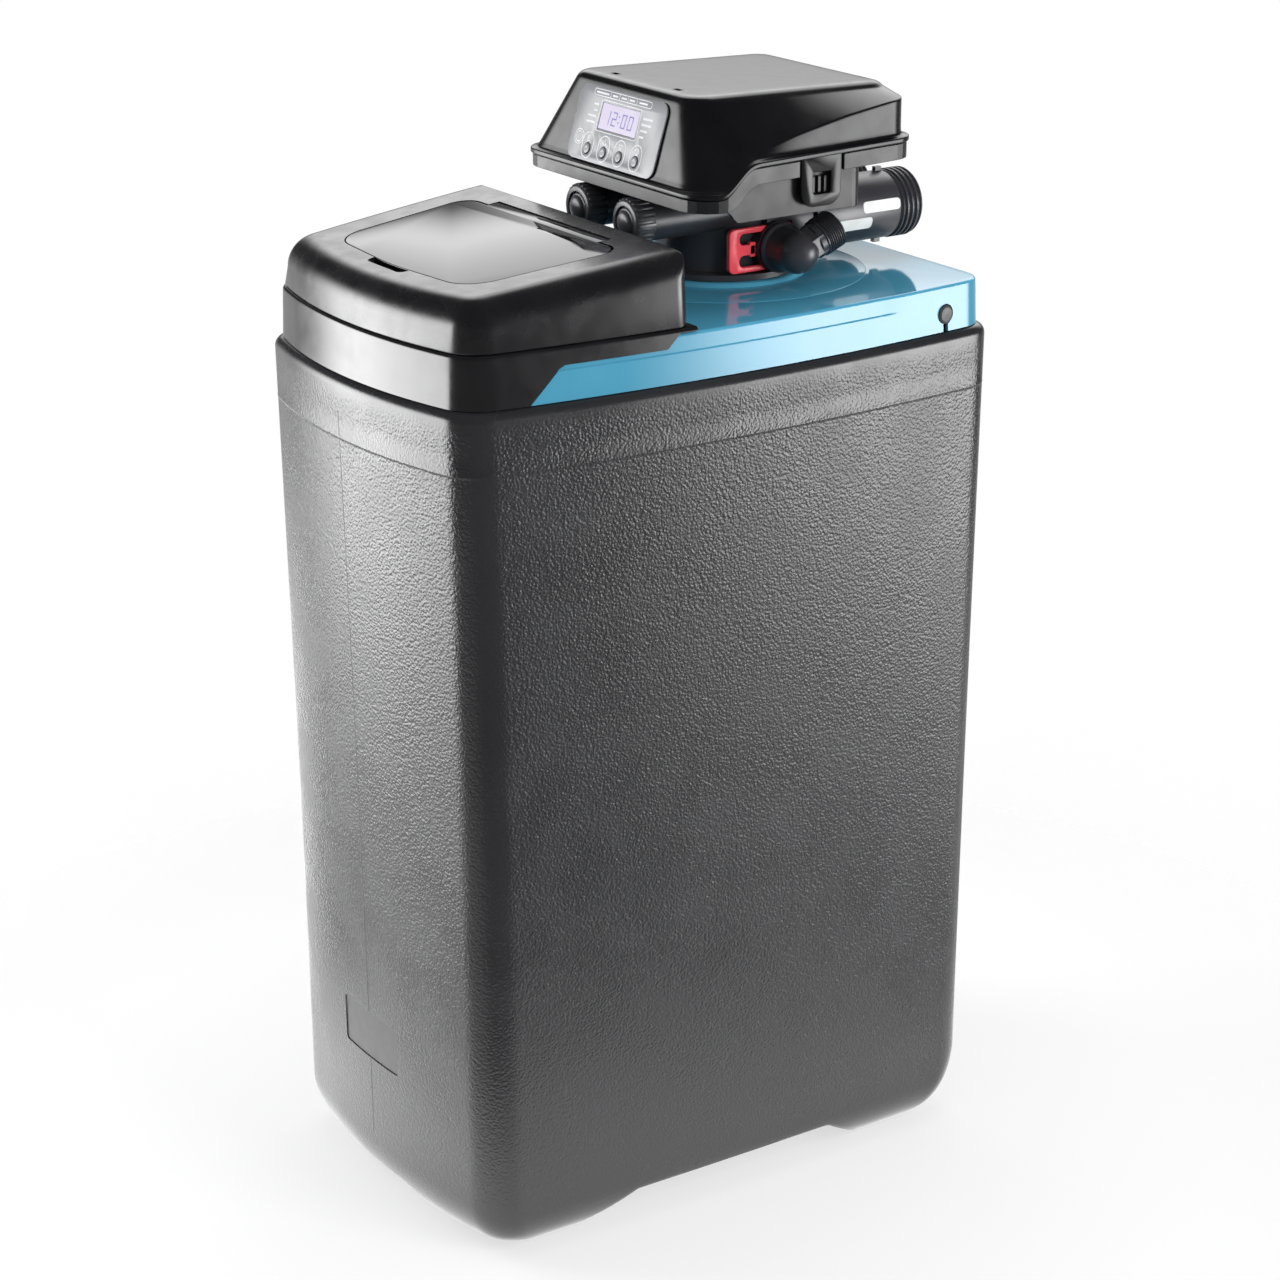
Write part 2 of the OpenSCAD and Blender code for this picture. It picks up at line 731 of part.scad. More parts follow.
// Upper half of the control head: sloping front, slanted sides, flange and hanging latches
module head_cover() {
  in1 = cover_plan(76, 75, 13, 181, 12, 9);
  in2 = cover_plan(83, 82, 8, 186.5, 17, 13);
  in3 = cover_plan(114, 109.5, -7.4, 183.5, 21, 15);
  in4 = cover_plan(116, 109.5, -8.6, 183, 21, 15);
  rim = cover_plan(cover_half, 118, -16, 191, 26, 20);
  wall = cover_plan(119.5, 113, -11.8, 186, 24, 18);
  fold = cover_plan(117, 112.5, -10.76, 186.5, 24, 18);
  edge = cover_plan(85, 84, 5.8, 190, 20, 16);
  edge2 = cover_plan(81.5, 80.5, 8.6, 187, 17, 13);
  top = cover_plan(77, 76, 12.5, 183, 14, 10);
  rings = [
    cover_ring(in1, function(y) roof(y) - 3.2),
    cover_ring(in2, function(y) roof(y) - 7.5),
    cover_ring(in3, function(y) crease(y) - 0.8),
    cover_ring(in4, function(y) parting(y) + 5),
    cover_ring(in4, function(y) parting(y)),
    cover_ring(rim, function(y) parting(y)),
    cover_ring(rim, function(y) parting(y) + 4),
    cover_ring(wall, function(y) parting(y) + 5.5),
    cover_ring(fold, function(y) max(crease(y), parting(y) + 7)),
    cover_ring(edge, function(y) roof(y) - 4.2),
    cover_ring(edge2, function(y) roof(y) - 1.3),
    cover_ring(top, function(y) roof(y))];
  color([0.05, 0.05, 0.055]) {
    difference() {
      loft(rings);
      on_panel()
        translate([-52, -54, -20])
          cube([104, 48, 40]);
      for (s = [-1, 1])
        translate([s * 42.2, 22, roof(22)])
          cube([9, 5, 16], center = true);
    }
    for (s = [-1, 1])
      translate([s * 118, 0, 0])
        along_x(3)
          difference() {
            polygon(round_path([[80, 785], [117, 785], [117, 826], [80, 826]], [12, 12, 1, 1], 5, 1));
            polygon(round_path([[90.8, 794.6], [107.2, 794.6], [107.2, 811], [90.8, 811]], [2, 2, 1, 1], 3, 1));
          }
  }
}

// Grey membrane panel with the display window and four button holes
module keypad() {
  color([0.45, 0.45, 0.46])
    on_panel()
      difference() {
        linear_extrude(1.4)
          polygon(round_path([[-59, -57.4], [59, -57.4], [59, 0], [-59, 0]], [9, 9, 9, 9], 5, 1));
        translate([-25.4, -31.2, -1])
          cube([50.8, 20.2, 4]);
        for (i = [0:3])
          translate([(i - 1.5) * 21.8, -47.8, -1])
            cylinder(h = 4, r = 4.6);
      }
}

module display() {
  color([0.72, 0.68, 0.88])
    on_panel()
      translate([-25.2, -31, -1.4])
        cube([50.4, 19.8, 2.5]);
}

// Push button on the keypad
module button(i) {
  on_panel()
    translate([(i - 1.5) * 21.8, -47.8, 0])
      rotate_extrude()
        polygon([[0, -4], [4.2, -4], [4.2, 1.5], [3.6, 2.1], [2.2, 2.3], [0, 2.2]]);
}

module time_button() {
  color([0.36, 0.36, 0.37])
    button(0);
}

module up_button() {
  color([0.36, 0.36, 0.37])
    button(1);
}

module down_button() {
  color([0.36, 0.36, 0.37])
    button(2);
}

module regen_button() {
  color([0.36, 0.36, 0.37])
    button(3);
}

module circuit_board() {
  color([0.10, 0.35, 0.18])
    on_panel() {
      translate([-50, -52, -9])
        cube([100, 44, 1.6]);
      translate([-24, -30, -7.5])
        cube([48, 18, 5.8]);
    }
}

// Synchronous motor standing on the floor of the head base
module drive_motor() {
  color([0.62, 0.63, 0.64])
    translate([0, valve_y - 40, floor_z + skin]) {
      cylinder(h = 20.5, r = 18);
      translate([-24, -4, 0])
        cube([48, 8, 2]);
    }
}

module motor_pinion() {
  color([0.85, 0.84, 0.78])
    translate([0, valve_y - 40, gear_z])
      rotate([0, 0, 11.25])
        linear_extrude(8)
          polygon(gear_points(16, 0.3));
}

// Main gear with the spindle that turns the moving disc
module drive_gear() {
  color([0.88, 0.87, 0.80])
    translate([0, valve_y, 0]) {
      translate([0, 0, gear_z])
        linear_extrude(7)
          polygon(gear_points(48, 0.3));
      translate([0, 0, gear_z])
        cylinder(h = 14, r = 12);
      translate([0, 0, 760])
        cylinder(h = gear_z - 756, r = 6);
    }
}

// Ported disc halves inside the valve body
module port_disc(z, h, r) {
  translate([0, valve_y, z])
    difference() {
      cylinder(h = h, r = r, $fn = 64);
      for (i = [0:3])
        rotate([0, 0, 45 + i * 90])
          translate([19, 0, -1])
            cylinder(h = h + 2, r = 6);
    }
}

module moving_disc() {
  color([0.93, 0.93, 0.92])
    port_disc(751.2, 8.8, 31);
}

module fixed_disc() {
  color([0.80, 0.80, 0.79])
    port_disc(741, 10, 33.9);
}

// Pressure vessel with domed ends and a threaded neck
module resin_tank() {
  wall = 4;
  color([0.16, 0.32, 0.50])
    translate([0, valve_y, 0])
      rotate_extrude($fn = 96)
        polygon(concat(
          [for (q = [-90:10:0]) [tank_r * cos(q), 110 + 84 * sin(q)]],
          [for (q = [0:10:60]) [tank_r * cos(q), 600 + 84 * sin(q)]],
          [[46, 682], [46, deck_top - 6], [43, deck_top - 0.6], [33, deck_top - 0.6], [33, 684]],
          [for (q = [60:-10:0]) [(tank_r - wall) * cos(q), 600 + 80 * sin(q)]],
          [for (q = [0:-10:-90]) [(tank_r - wall) * cos(q), 110 + 80 * sin(q)]]));
}

module tank_foot() {
  color([0.07, 0.07, 0.075])
    translate([0, valve_y, 0])
      rotate_extrude($fn = 96)
        polygon([[96, 18.3], [110, 18.3], [131, 34], [131, 104], [128.6, 104], [126, 85], [115, 69.5], [96, 51]]);
}

module resin_bed() {
  color([0.72, 0.50, 0.20])
    translate([0, valve_y, 0])
      difference() {
        rotate_extrude($fn = 64)
          polygon(concat([for (q = [-50:10:0]) [(tank_r - 4.5) * cos(q), 110 + 79 * sin(q)]],
            [[tank_r - 4.5, bed_top], [36, bed_top], [36, 110 + 79 * sin(-50)]]));
      }
}

// Central tube from the valve to the bottom of the tank
module riser_tube() {
  color([0.90, 0.90, 0.90])
    translate([0, valve_y, 0])
      difference() {
        translate([0, 0, 70])
          cylinder(h = 656, r = 13.4);
        translate([0, 0, 60])
          cylinder(h = 700, r = 11);
      }
}

// Slotted basket: a ring cage around the riser
module strainer(z, h, r) {
  translate([0, valve_y, z])
    difference() {
      cylinder(h = h, r = r);
      translate([0, 0, -1])
        cylinder(h = h + 2, r = 13.8);
      for (i = [0:11])
        rotate([0, 0, i * 30])
          translate([r - 6, -1, 4])
            cube([10, 2, h - 8]);
    }
}

module lower_strainer() {
  color([0.85, 0.85, 0.84])
    strainer(62, 60, 32);
}

module upper_strainer() {
  color([0.85, 0.85, 0.84])
    strainer(600, 60, 26);
}

// Upright tube in the salt bin with water slots at its foot
module brine_well() {
  color([0.88, 0.88, 0.86])
    translate([well_at[0], well_at[1], 0])
      difference() {
        translate([0, 0, 18.4])
          cylinder(h = 621, r = well_r);
        translate([0, 0, 10])
          cylinder(h = 660, r = well_r - 2.5);
        for (i = [0:2])
          translate([0, 0, 40 + i * 22])
            cube([100, 14, 6], center = true);
      }
}

module brine_well_cap() {
  color([0.08, 0.08, 0.08])
    translate([well_at[0], well_at[1], 0])
      difference() {
        translate([0, 0, 625])
          cylinder(h = 19, r = well_r + 2.8);
        translate([0, 0, 620])
          cylinder(h = 19.8, r = well_r + 0.4);
      }
}

// Pick-up tube that stands in the air check
module brine_rod() {
  color([0.80, 0.80, 0.80])
    translate([well_at[0], well_at[1], 52])
      cylinder(h = 548, r = 6);
}

// Air check at the foot of the pick-up tube
module air_check() {
  color([0.80, 0.80, 0.80])
    translate([well_at[0], well_at[1], 20])
      difference() {
        cylinder(h = 70, r = 17);
        translate([0, 0, 31])
          cylinder(h = 50, r = 6.05);
        for (q = [0:60:300])
          rotate([0, 0, q])
            translate([10, -2, -1])
              cube([12, 4, 19]);
      }
}

// Two rings on the pick-up tube that limit the float's travel
module float_stops() {
  color([0.80, 0.80, 0.80])
    for (z = [222, 380])
      translate([well_at[0], well_at[1], z])
        difference() {
          cylinder(h = 8, r = 11);
          translate([0, 0, -1])
            cylinder(h = 10, r = 6.05);
        }
}

module brine_float() {
  color([0.85, 0.30, 0.12])
    translate([well_at[0], well_at[1], 230.4])
      difference() {
        cylinder(h = 45, r = 25);
        translate([0, 0, -5])
          cylinder(h = 60, r = 6.06);
      }
}

cabinet_shell();
deck();
lid_frame();
overflow_plug();
salt_lid();
fill_flap();
flap_pin();
valve_body();
left_cap();
right_cap();
left_plug();
right_plug();
inlet_pipe();
outlet_pipe();
meter_turbine();
drain_elbow();
drain_seal();
drain_clip();
brine_fitting();
neck_seal();
head_base();
head_screws();
head_cover();
keypad();
display();
time_button();
up_button();
down_button();
regen_button();
circuit_board();
drive_motor();
motor_pinion();
drive_gear();
moving_disc();
fixed_disc();
resin_tank();
tank_foot();
resin_bed();
riser_tube();
lower_strainer();
upper_strainer();
brine_well();
brine_well_cap();
brine_rod();
air_check();
float_stops();
brine_float();
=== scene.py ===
"""Cabinet water softener in a white studio: smooth skins, finishes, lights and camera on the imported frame.

All sizes are in millimetres in the row frame: origin on the floor under the middle of the cabinet,
front at -Y, up at +Z. A piece is built at its place and its object stays at the origin.
"""

import json
import logging
import math
from dataclasses import dataclass
from enum import Enum
from typing import Callable, Iterable, Sequence

import bmesh
import bpy
from mathutils import Matrix, Vector

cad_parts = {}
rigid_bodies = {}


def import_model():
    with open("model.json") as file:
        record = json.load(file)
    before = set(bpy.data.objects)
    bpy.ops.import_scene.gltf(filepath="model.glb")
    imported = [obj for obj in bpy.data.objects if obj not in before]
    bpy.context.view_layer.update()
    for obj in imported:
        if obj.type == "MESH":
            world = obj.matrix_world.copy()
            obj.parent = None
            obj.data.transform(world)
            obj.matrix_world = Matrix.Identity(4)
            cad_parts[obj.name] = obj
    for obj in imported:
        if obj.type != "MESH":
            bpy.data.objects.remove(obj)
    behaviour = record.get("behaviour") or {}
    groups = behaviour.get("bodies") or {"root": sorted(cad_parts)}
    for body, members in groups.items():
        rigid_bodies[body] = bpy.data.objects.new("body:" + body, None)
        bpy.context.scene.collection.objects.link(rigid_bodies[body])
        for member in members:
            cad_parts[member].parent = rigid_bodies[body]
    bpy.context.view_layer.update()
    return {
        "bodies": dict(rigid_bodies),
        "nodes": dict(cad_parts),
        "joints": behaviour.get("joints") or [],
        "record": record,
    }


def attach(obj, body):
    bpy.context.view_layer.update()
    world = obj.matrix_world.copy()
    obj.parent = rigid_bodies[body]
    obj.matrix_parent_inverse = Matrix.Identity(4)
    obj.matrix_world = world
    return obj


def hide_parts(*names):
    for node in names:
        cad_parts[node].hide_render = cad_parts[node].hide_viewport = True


MM = 0.001
LOG = logging.getLogger("softener")

Point = tuple[float, float, float]
Flat = tuple[float, float]
Object = bpy.types.Object
Tree = bpy.types.NodeTree
Socket = bpy.types.NodeSocket
Value = float | tuple | Socket

# Height of the cabinet's rim, half its width and depth there, and its corner radii at front and rear
RIM, HALF_WIDE, HALF_DEEP = 680.0, 162.5, 250.0
CORNER_FRONT, CORNER_REAR = 33.5, 25.0
# Half the deck's width and depth, how far its sides and front bow out, and how far the lid stands in from it
DECK_WIDE, DECK_DEEP, SIDE_BOW, FRONT_BOW, LID_GAP = 157.5, 245.0, 17.4, 27.0, 3.4
# Depth and height of a point on the lid's top, and the rise of the top to the rear
LID_Y, LID_Z, LID_SLOPE = -62.0, 772.8, 0.111


class Axis(Enum):
    """Direction that a form is swept along, as the turn that takes +Z there."""

    X = Matrix.Rotation(math.radians(90), 4, "Y")
    FRONT = Matrix.Rotation(math.radians(90), 4, "X")
    REAR = Matrix.Rotation(math.radians(-90), 4, "X")
    UP = Matrix.Identity(4)


class Cut(Enum):
    """What a cutter does to a piece."""

    AWAY = "DIFFERENCE"
    KEEP = "INTERSECT"


def smooth_step(low: float, high: float, value: float) -> float:
    """Smooth ramp from 0 at low to 1 at high."""
    t = max(0.0, min(1.0, (value - low) / (high - low)))
    return t * t * (3 - 2 * t)


def place(x: float, y: float, z: float, turn: Matrix | Axis = Axis.UP) -> Matrix:
    """Matrix that turns a form and sets it at a point."""
    return Matrix.Translation((x, y, z)) @ (turn.value if isinstance(turn, Axis) else turn)


# Plane of the lid's top, with the flap's outline drawn on it, and plane of the keypad
ON_LID = place(0, LID_Y, LID_Z, Matrix.Rotation(math.atan(LID_SLOPE), 4, "X"))
ON_PANEL = place(0, 4.5, 861.4, Matrix.Rotation(math.radians(73), 4, "X"))


def arc(centre: Flat, radius: float, start: float, end: float, steps: int) -> list[Point]:
    """Points on an arc, each with the sine of its angle."""
    turns = [start + (end - start) * i / steps for i in range(steps + 1)]
    return [(centre[0] + radius * math.cos(t), centre[1] + radius * math.sin(t), math.sin(t)) for t in turns]


def meet(c0: Flat, r0: float, c1: Flat, r1: float, near: Flat) -> Flat:
    """Where two circles meet, on the side nearer to a point.

    Args:
        c0: Centre of the first circle.
        r0: Its radius.
        c1: Centre of the second circle.
        r1: Its radius.
        near: Point that picks one of the two.
    Returns:
        The meeting point.
    """
    a, b = Vector(c0), Vector(c1)
    gap = (b - a).length
    along = (b - a) / gap
    k = (r0 * r0 - r1 * r1 + gap * gap) / (2 * gap)
    side = Vector((-along.y, along.x)) * math.sqrt(max(0.0, r0 * r0 - k * k))
    found = min((a + along * k + side, a + along * k - side), key=lambda p: (p - Vector(near)).length)
    return found.x, found.y


@dataclass(frozen=True)
class Plan:
    """Bowed plan with rounded corners, symmetric about X = 0."""

    half: float
    front: float
    rear: float
    side_r: float
    front_r: float
    corner_f: float
    corner_r: float

    def points(self) -> list[Point]:
        """Ring of points from the middle of the front, by the right side.

        Returns:
            Points as (x, y, y part of the outward normal).
        """
        flat = 20000.0
        cs, cf, cr = (self.half - self.side_r, 0.0), (0.0, self.front + self.front_r), (0.0, self.rear - flat)
        pf = meet(cs, self.side_r - self.corner_f, cf, self.front_r - self.corner_f,
                  (self.half - self.corner_f, self.front + self.corner_f))
        pr = meet(cs, self.side_r - self.corner_r, cr, flat - self.corner_r,
                  (self.half - self.corner_r, self.rear - self.corner_r))

        def bearing(c: Flat, p: Flat) -> float:
            """Angle of a point seen from a centre."""
            return math.atan2(p[1] - c[1], p[0] - c[0])

        half = arc(cf, self.front_r, -math.pi / 2, bearing(cf, pf), 20)
        half += arc(pf, self.corner_f, bearing(cf, pf), bearing(cs, pf), 14)[1:]
        half += arc(cs, self.side_r, bearing(cs, pf), bearing(cs, pr), 150)[1:]
        half += arc(pr, self.corner_r, bearing(cs, pr), bearing(cr, pr), 12)[1:]
        half += arc(cr, flat, bearing(cr, pr), math.pi / 2, 20)[1:]
        return half + [(-x, y, n) for x, y, n in reversed(half[1:-1])]


def bow(half: float, rise: float) -> float:
    """Radius of an arc by half its width and its rise."""
    return (half**2 + rise**2) / (2 * rise)


def cabinet_plan(z: float, off: float, front: float | None = None, rear: float | None = None,
                 low: Flat = (4, 4)) -> Plan:
    """Plan of the cabinet at a height.

    Args:
        z: Height above the floor.
        off: Inset from the outer face.
        front: Inset at the front, the same by default.
        rear: Inset at the rear, the same by default.
        low: Least radius of the front and rear corners.
    Returns:
        The plan there.
    """
    share = max(0.0, min(1.0, z / RIM)) ** 1.6
    taper = 9.7 * (1 - share)
    side_bow, front_bow = 2.8 + 14.6 * share, FRONT_BOW - 3.3 * (1 - share)
    front, rear = off if front is None else front, off if rear is None else rear
    return Plan(HALF_WIDE - taper - off, -HALF_DEEP + taper + front, HALF_DEEP - taper - rear,
                bow(HALF_DEEP, side_bow) - off, bow(HALF_WIDE, front_bow) - front,
                max(low[0], CORNER_FRONT - off), max(low[1], CORNER_REAR - off))


def tuck(radius: float, z: float) -> float:
    """Inset of a bottom rounding at a height."""
    return radius - math.sqrt(radius**2 - (radius - z) ** 2) if z < radius else 0.0


def deck_plan(off: float, rear: float | None = None) -> Plan:
    """Plan of the deck and the lid frame.

    Args:
        off: Inset from the deck's outer face.
        rear: Rear edge, the deck's own by default.
    Returns:
        The plan.
    """
    return Plan(DECK_WIDE - off, -DECK_DEEP + off, DECK_DEEP - off if rear is None else rear,
                bow(DECK_DEEP, SIDE_BOW) - off, bow(DECK_WIDE, FRONT_BOW) - off,
                max(4, CORNER_FRONT - off), max(4, CORNER_REAR - off))


def lid_plan(off: float, off_rear: float) -> Plan:
    """Plan of the lid, inset apart at the rear.

    Args:
        off: Inset at the front and sides.
        off_rear: Inset at the rear.
    Returns:
        The plan.
    """
    inset = LID_GAP + off
    return Plan(DECK_WIDE - inset, -DECK_DEEP + inset, -40 - off_rear, bow(DECK_DEEP, SIDE_BOW) - inset,
                bow(DECK_WIDE, FRONT_BOW) - inset, max(6, 30 - off), max(5, 11 - off_rear))


def level(plan: Plan, z: float | Callable[[float], float]) -> list[Point]:
    """A plan's ring at one height, or at a height by depth."""
    return [(x, y, z(y) if callable(z) else z) for x, y, _ in plan.points()]


def round_path(corners: Sequence[Flat], radii: Sequence[float], steps: int = 8, split: int = 1) -> list[Flat]:
    """Polygon with rounded corners.

    Args:
        corners: Its corners, counter-clockwise.
        radii: Radius at each corner.
        steps: Steps round each corner.
        split: Steps along each edge.
    Returns:
        The outline.
    """
    found = []
    for i, radius in enumerate(radii):
        p = Vector(corners[i])
        d1 = (Vector(corners[i - 1]) - p).normalized()
        d2 = (Vector(corners[(i + 1) % len(corners)]) - p).normalized()
        half = math.acos(max(-1.0, min(1.0, d1.dot(d2)))) / 2
        centre = p + (d1 + d2).normalized() * radius / math.sin(half)
        first = p + d1 * radius / math.tan(half)
        found.append((centre, first, p + d2 * radius / math.tan(half), math.pi - 2 * half))
    outline = []
    for i, (centre, first, last, sweep) in enumerate(found):
        start = math.atan2(first.y - centre.y, first.x - centre.x)
        outline += [(x, y) for x, y, _ in arc((centre.x, centre.y), radii[i], start, start + sweep, steps)]
        following = found[(i + 1) % len(found)][1]
        outline += [tuple(last + (following - last) * s / split) for s in range(1, split)]
    return outline


def round_block(low: Flat, high: Flat, radii: float | Sequence[float], steps: int = 8, split: int = 1) -> list[Flat]:
    """Rectangle with rounded corners."""
    corners = [low, (high[0], low[1]), high, (low[0], high[1])]
    return round_path(corners, [radii] * 4 if isinstance(radii, (int, float)) else radii, steps, split)


class Skin:
    """Vertices and faces of one piece, put together from simple forms in millimetres."""

    def __init__(self) -> None:
        """Starts with nothing in it."""
        self.verts: list[Vector] = []
        self.faces: list[list[int]] = []

    def add(self, verts: Iterable[Sequence[float]], faces: Iterable[Sequence[int]], at: Matrix = Matrix()) -> "Skin":
        """Adds a form.

        Args:
            verts: Its points.
            faces: Its faces.
            at: Where it goes.
        Returns:
            This skin.
        """
        base = len(self.verts)
        self.verts += [at @ Vector(v) for v in verts]
        self.faces += [[base + i for i in f] for f in faces]
        return self

    def loft(self, rings: Sequence[Sequence[Point]], at: Matrix = Matrix(), ends: bool = True) -> "Skin":
        """Adds a skin through rings of equal length, from the lowest up.

        Args:
            rings: The rings, each counter-clockwise seen from the last one.
            at: Where it goes.
            ends: Whether both ends are closed.
        Returns:
            This skin.
        """
        n, m = len(rings[0]), len(rings)
        faces = [[k * n + i, k * n + (i + 1) % n, (k + 1) * n + (i + 1) % n, (k + 1) * n + i]
                 for k in range(m - 1) for i in range(n)]
        if ends:
            faces += [list(range(n - 1, -1, -1)), [(m - 1) * n + i for i in range(n)]]
        return self.add([p for r in rings for p in r], faces, at)

    def lathe(self, profile: Sequence[Flat], at: Matrix = Matrix(), steps: int = 64) -> "Skin":
        """Adds a turned form.

        Args:
            profile: Radius and height of each ring; a closed profile ends where it starts.
            at: Where it goes; it turns about local Z.
            steps: Steps round it.
        Returns:
            This skin.
        """
        turns = [2 * math.pi * i / steps for i in range(steps)]
        rings = [[(r * math.cos(t), r * math.sin(t), z) for t in turns] for r, z in profile]
        return self.loft(rings, at, ends=profile[0] != profile[-1])

    def prism(self, outline: Sequence[Flat], low: float, high: float, at: Matrix = Matrix()) -> "Skin":
        """Adds an outline drawn out along local Z."""
        return self.loft([[(x, y, z) for x, y in outline] for z in (low, high)], at)

    def box(self, low: Point, high: Point, at: Matrix = Matrix()) -> "Skin":
        """Adds a block."""
        outline = [(low[0], low[1]), (high[0], low[1]), (high[0], high[1]), (low[0], high[1])]
        return self.prism(outline, low[2], high[2], at)

    def side(self, outline: Sequence[Flat], half: float, x: float = 0.0) -> "Skin":
        """Adds an outline in the YZ plane, drawn out along X."""
        return self.loft([[(px, y, z) for y, z in outline] for px in (x - half, x + half)])

    def build(self, name: str, angle: float = 30.0) -> Object:
        """Makes the object, with edges sharper than an angle kept sharp.

        Args:
            name: Name of the piece.
            angle: The angle, in degrees.
        Returns:
            The object, at the origin.
        """
        mesh = bpy.data.meshes.new(name)
        mesh.from_pydata([tuple(v * MM) for v in self.verts], [], self.faces)
        mesh.validate()
        work = bmesh.new()
        work.from_mesh(mesh)
        bmesh.ops.recalc_face_normals(work, faces=work.faces)
        work.to_mesh(mesh)
        work.free()
        mesh.shade_smooth()
        mesh.set_sharp_from_angle(angle=math.radians(angle))
        piece = bpy.data.objects.new(name, mesh)
        bpy.context.scene.collection.objects.link(piece)
        return piece


def bake(piece: Object, angle: float = 30.0) -> Object:
    """Turns a piece's modifiers into plain mesh.

    Args:
        piece: The piece.
        angle: Edges sharper than this stay sharp, in degrees.
    Returns:
        The same piece.
    """
    bpy.context.view_layer.update()
    made = bpy.data.meshes.new_from_object(piece.evaluated_get(bpy.context.evaluated_depsgraph_get()))
    old = piece.data
    piece.modifiers.clear()
    piece.data = made
    bpy.data.meshes.remove(old)
    made.name = piece.name
    made.shade_smooth()
    made.set_sharp_from_angle(angle=math.radians(angle))
    return piece


def carve(piece: Object, cutter: Skin, angle: float = 30.0, cut: Cut = Cut.AWAY) -> Object:
    """Cuts a piece with a form.

    Args:
        piece: The piece.
        cutter: The form.
        angle: Edges sharper than this stay sharp, in degrees.
        cut: What it does.
    Returns:
        The same piece.
    """
    tool = cutter.build("cutter")
    change = piece.modifiers.new("cut", "BOOLEAN")
    change.operation, change.solver, change.object = cut.value, "EXACT", tool
    bake(piece, angle)
    bpy.data.objects.remove(tool)
    return piece


def soften(piece: Object, width: float, angle: float = 35.0, steps: int = 2) -> Object:
    """Rounds the sharp edges of a piece.

    Args:
        piece: The piece.
        width: Width of the rounding.
        angle: Edges sharper than this are rounded, in degrees.
        steps: Steps across it.
    Returns:
        The same piece.
    """
    change = piece.modifiers.new("round", "BEVEL")
    change.width, change.segments, change.limit_method = width * MM, steps, "ANGLE"
    change.angle_limit, change.use_clamp_overlap, change.harden_normals = math.radians(angle), True, False
    return bake(piece, 40)


def join(piece: Object, *others: Object) -> Object:
    """Joins other meshes into a piece.

    Args:
        piece: The piece that stays.
        others: What goes into it.
    Returns:
        The piece.
    """
    with bpy.context.temp_override(active_object=piece, object=piece, selected_editable_objects=[piece, *others]):
        bpy.ops.object.join()
    return piece


def screw_thread(radius: float, pitch: float, depth: float, length: float, steps: int = 72) -> list[list[Point]]:
    """Rings of a cylinder with a helical thread.

    Args:
        radius: Crest radius.
        pitch: Rise in one turn.
        depth: Depth of the groove.
        length: Length along local Z, from 0.
        steps: Steps round it.
    Returns:
        The rings, from 0 up.
    """
    rings, rows = [], max(8, int(length / pitch * 10))
    for k in range(rows + 1):
        z = length * k / rows
        fade = min(1.0, z / (0.5 * pitch), (length - z) / (0.5 * pitch))
        ring = []
        for i in range(steps):
            phase = (z / pitch - i / steps) % 1.0
            crest = smooth_step(0.08, 0.30, phase) - smooth_step(0.62, 0.84, phase)
            r = radius - depth * (1 - crest * max(0.0, fade))
            ring.append((r * math.cos(2 * math.pi * i / steps), r * math.sin(2 * math.pi * i / steps), z))
        rings.append(ring)
    return rings


def linear(code: str) -> tuple[float, float, float, float]:
    """Linear colour of an sRGB hex code.

    Args:
        code: The code, such as "#3C8DB0".
    Returns:
        Red, green, blue and alpha.
    """
    parts = [int(code[i : i + 2], 16) / 255 for i in (1, 3, 5)]
    red, green, blue = [p / 12.92 if p <= 0.04045 else ((p + 0.055) / 1.055) ** 2.4 for p in parts]
    return red, green, blue, 1.0


def add(tree: Tree, kind: str, inputs: dict[str | int, Value] | None = None, out: str | int = 0,
        **settings) -> Socket | None:
    """Adds one node.

    Args:
        tree: The node tree.
        kind: The node's type.
        inputs: Constants and links by socket name or number.
        out: Output that is handed back.
        settings: Properties of the node.
    Returns:
        That output, or nothing where the node has none.
    """
    made = tree.nodes.new(kind)
    for key, value in settings.items():
        setattr(made, key, value)
    for key, value in (inputs or {}).items():
        if isinstance(value, Socket):
            tree.links.new(value, made.inputs[key])
        else:
            made.inputs[key].default_value = value
    return made.outputs[out] if made.outputs else None


def mottle(tree: Tree, at: Value, size: float, low: float, high: float) -> Socket:
    """Soft patches that run from one value to another.

    Args:
        tree: The node tree.
        at: Where they are read.
        size: Size of a patch, in millimetres.
        low: Lowest value.
        high: Highest value.
    Returns:
        The value.
    """
    field = add(tree, "ShaderNodeTexNoise", {"Vector": at, "Scale": 1 / (size * MM), "Detail": 3.0})
    return add(tree, "ShaderNodeMapRange", {0: field, 1: 0.3, 2: 0.7, 3: low, 4: high},
               interpolation_type="SMOOTHSTEP")


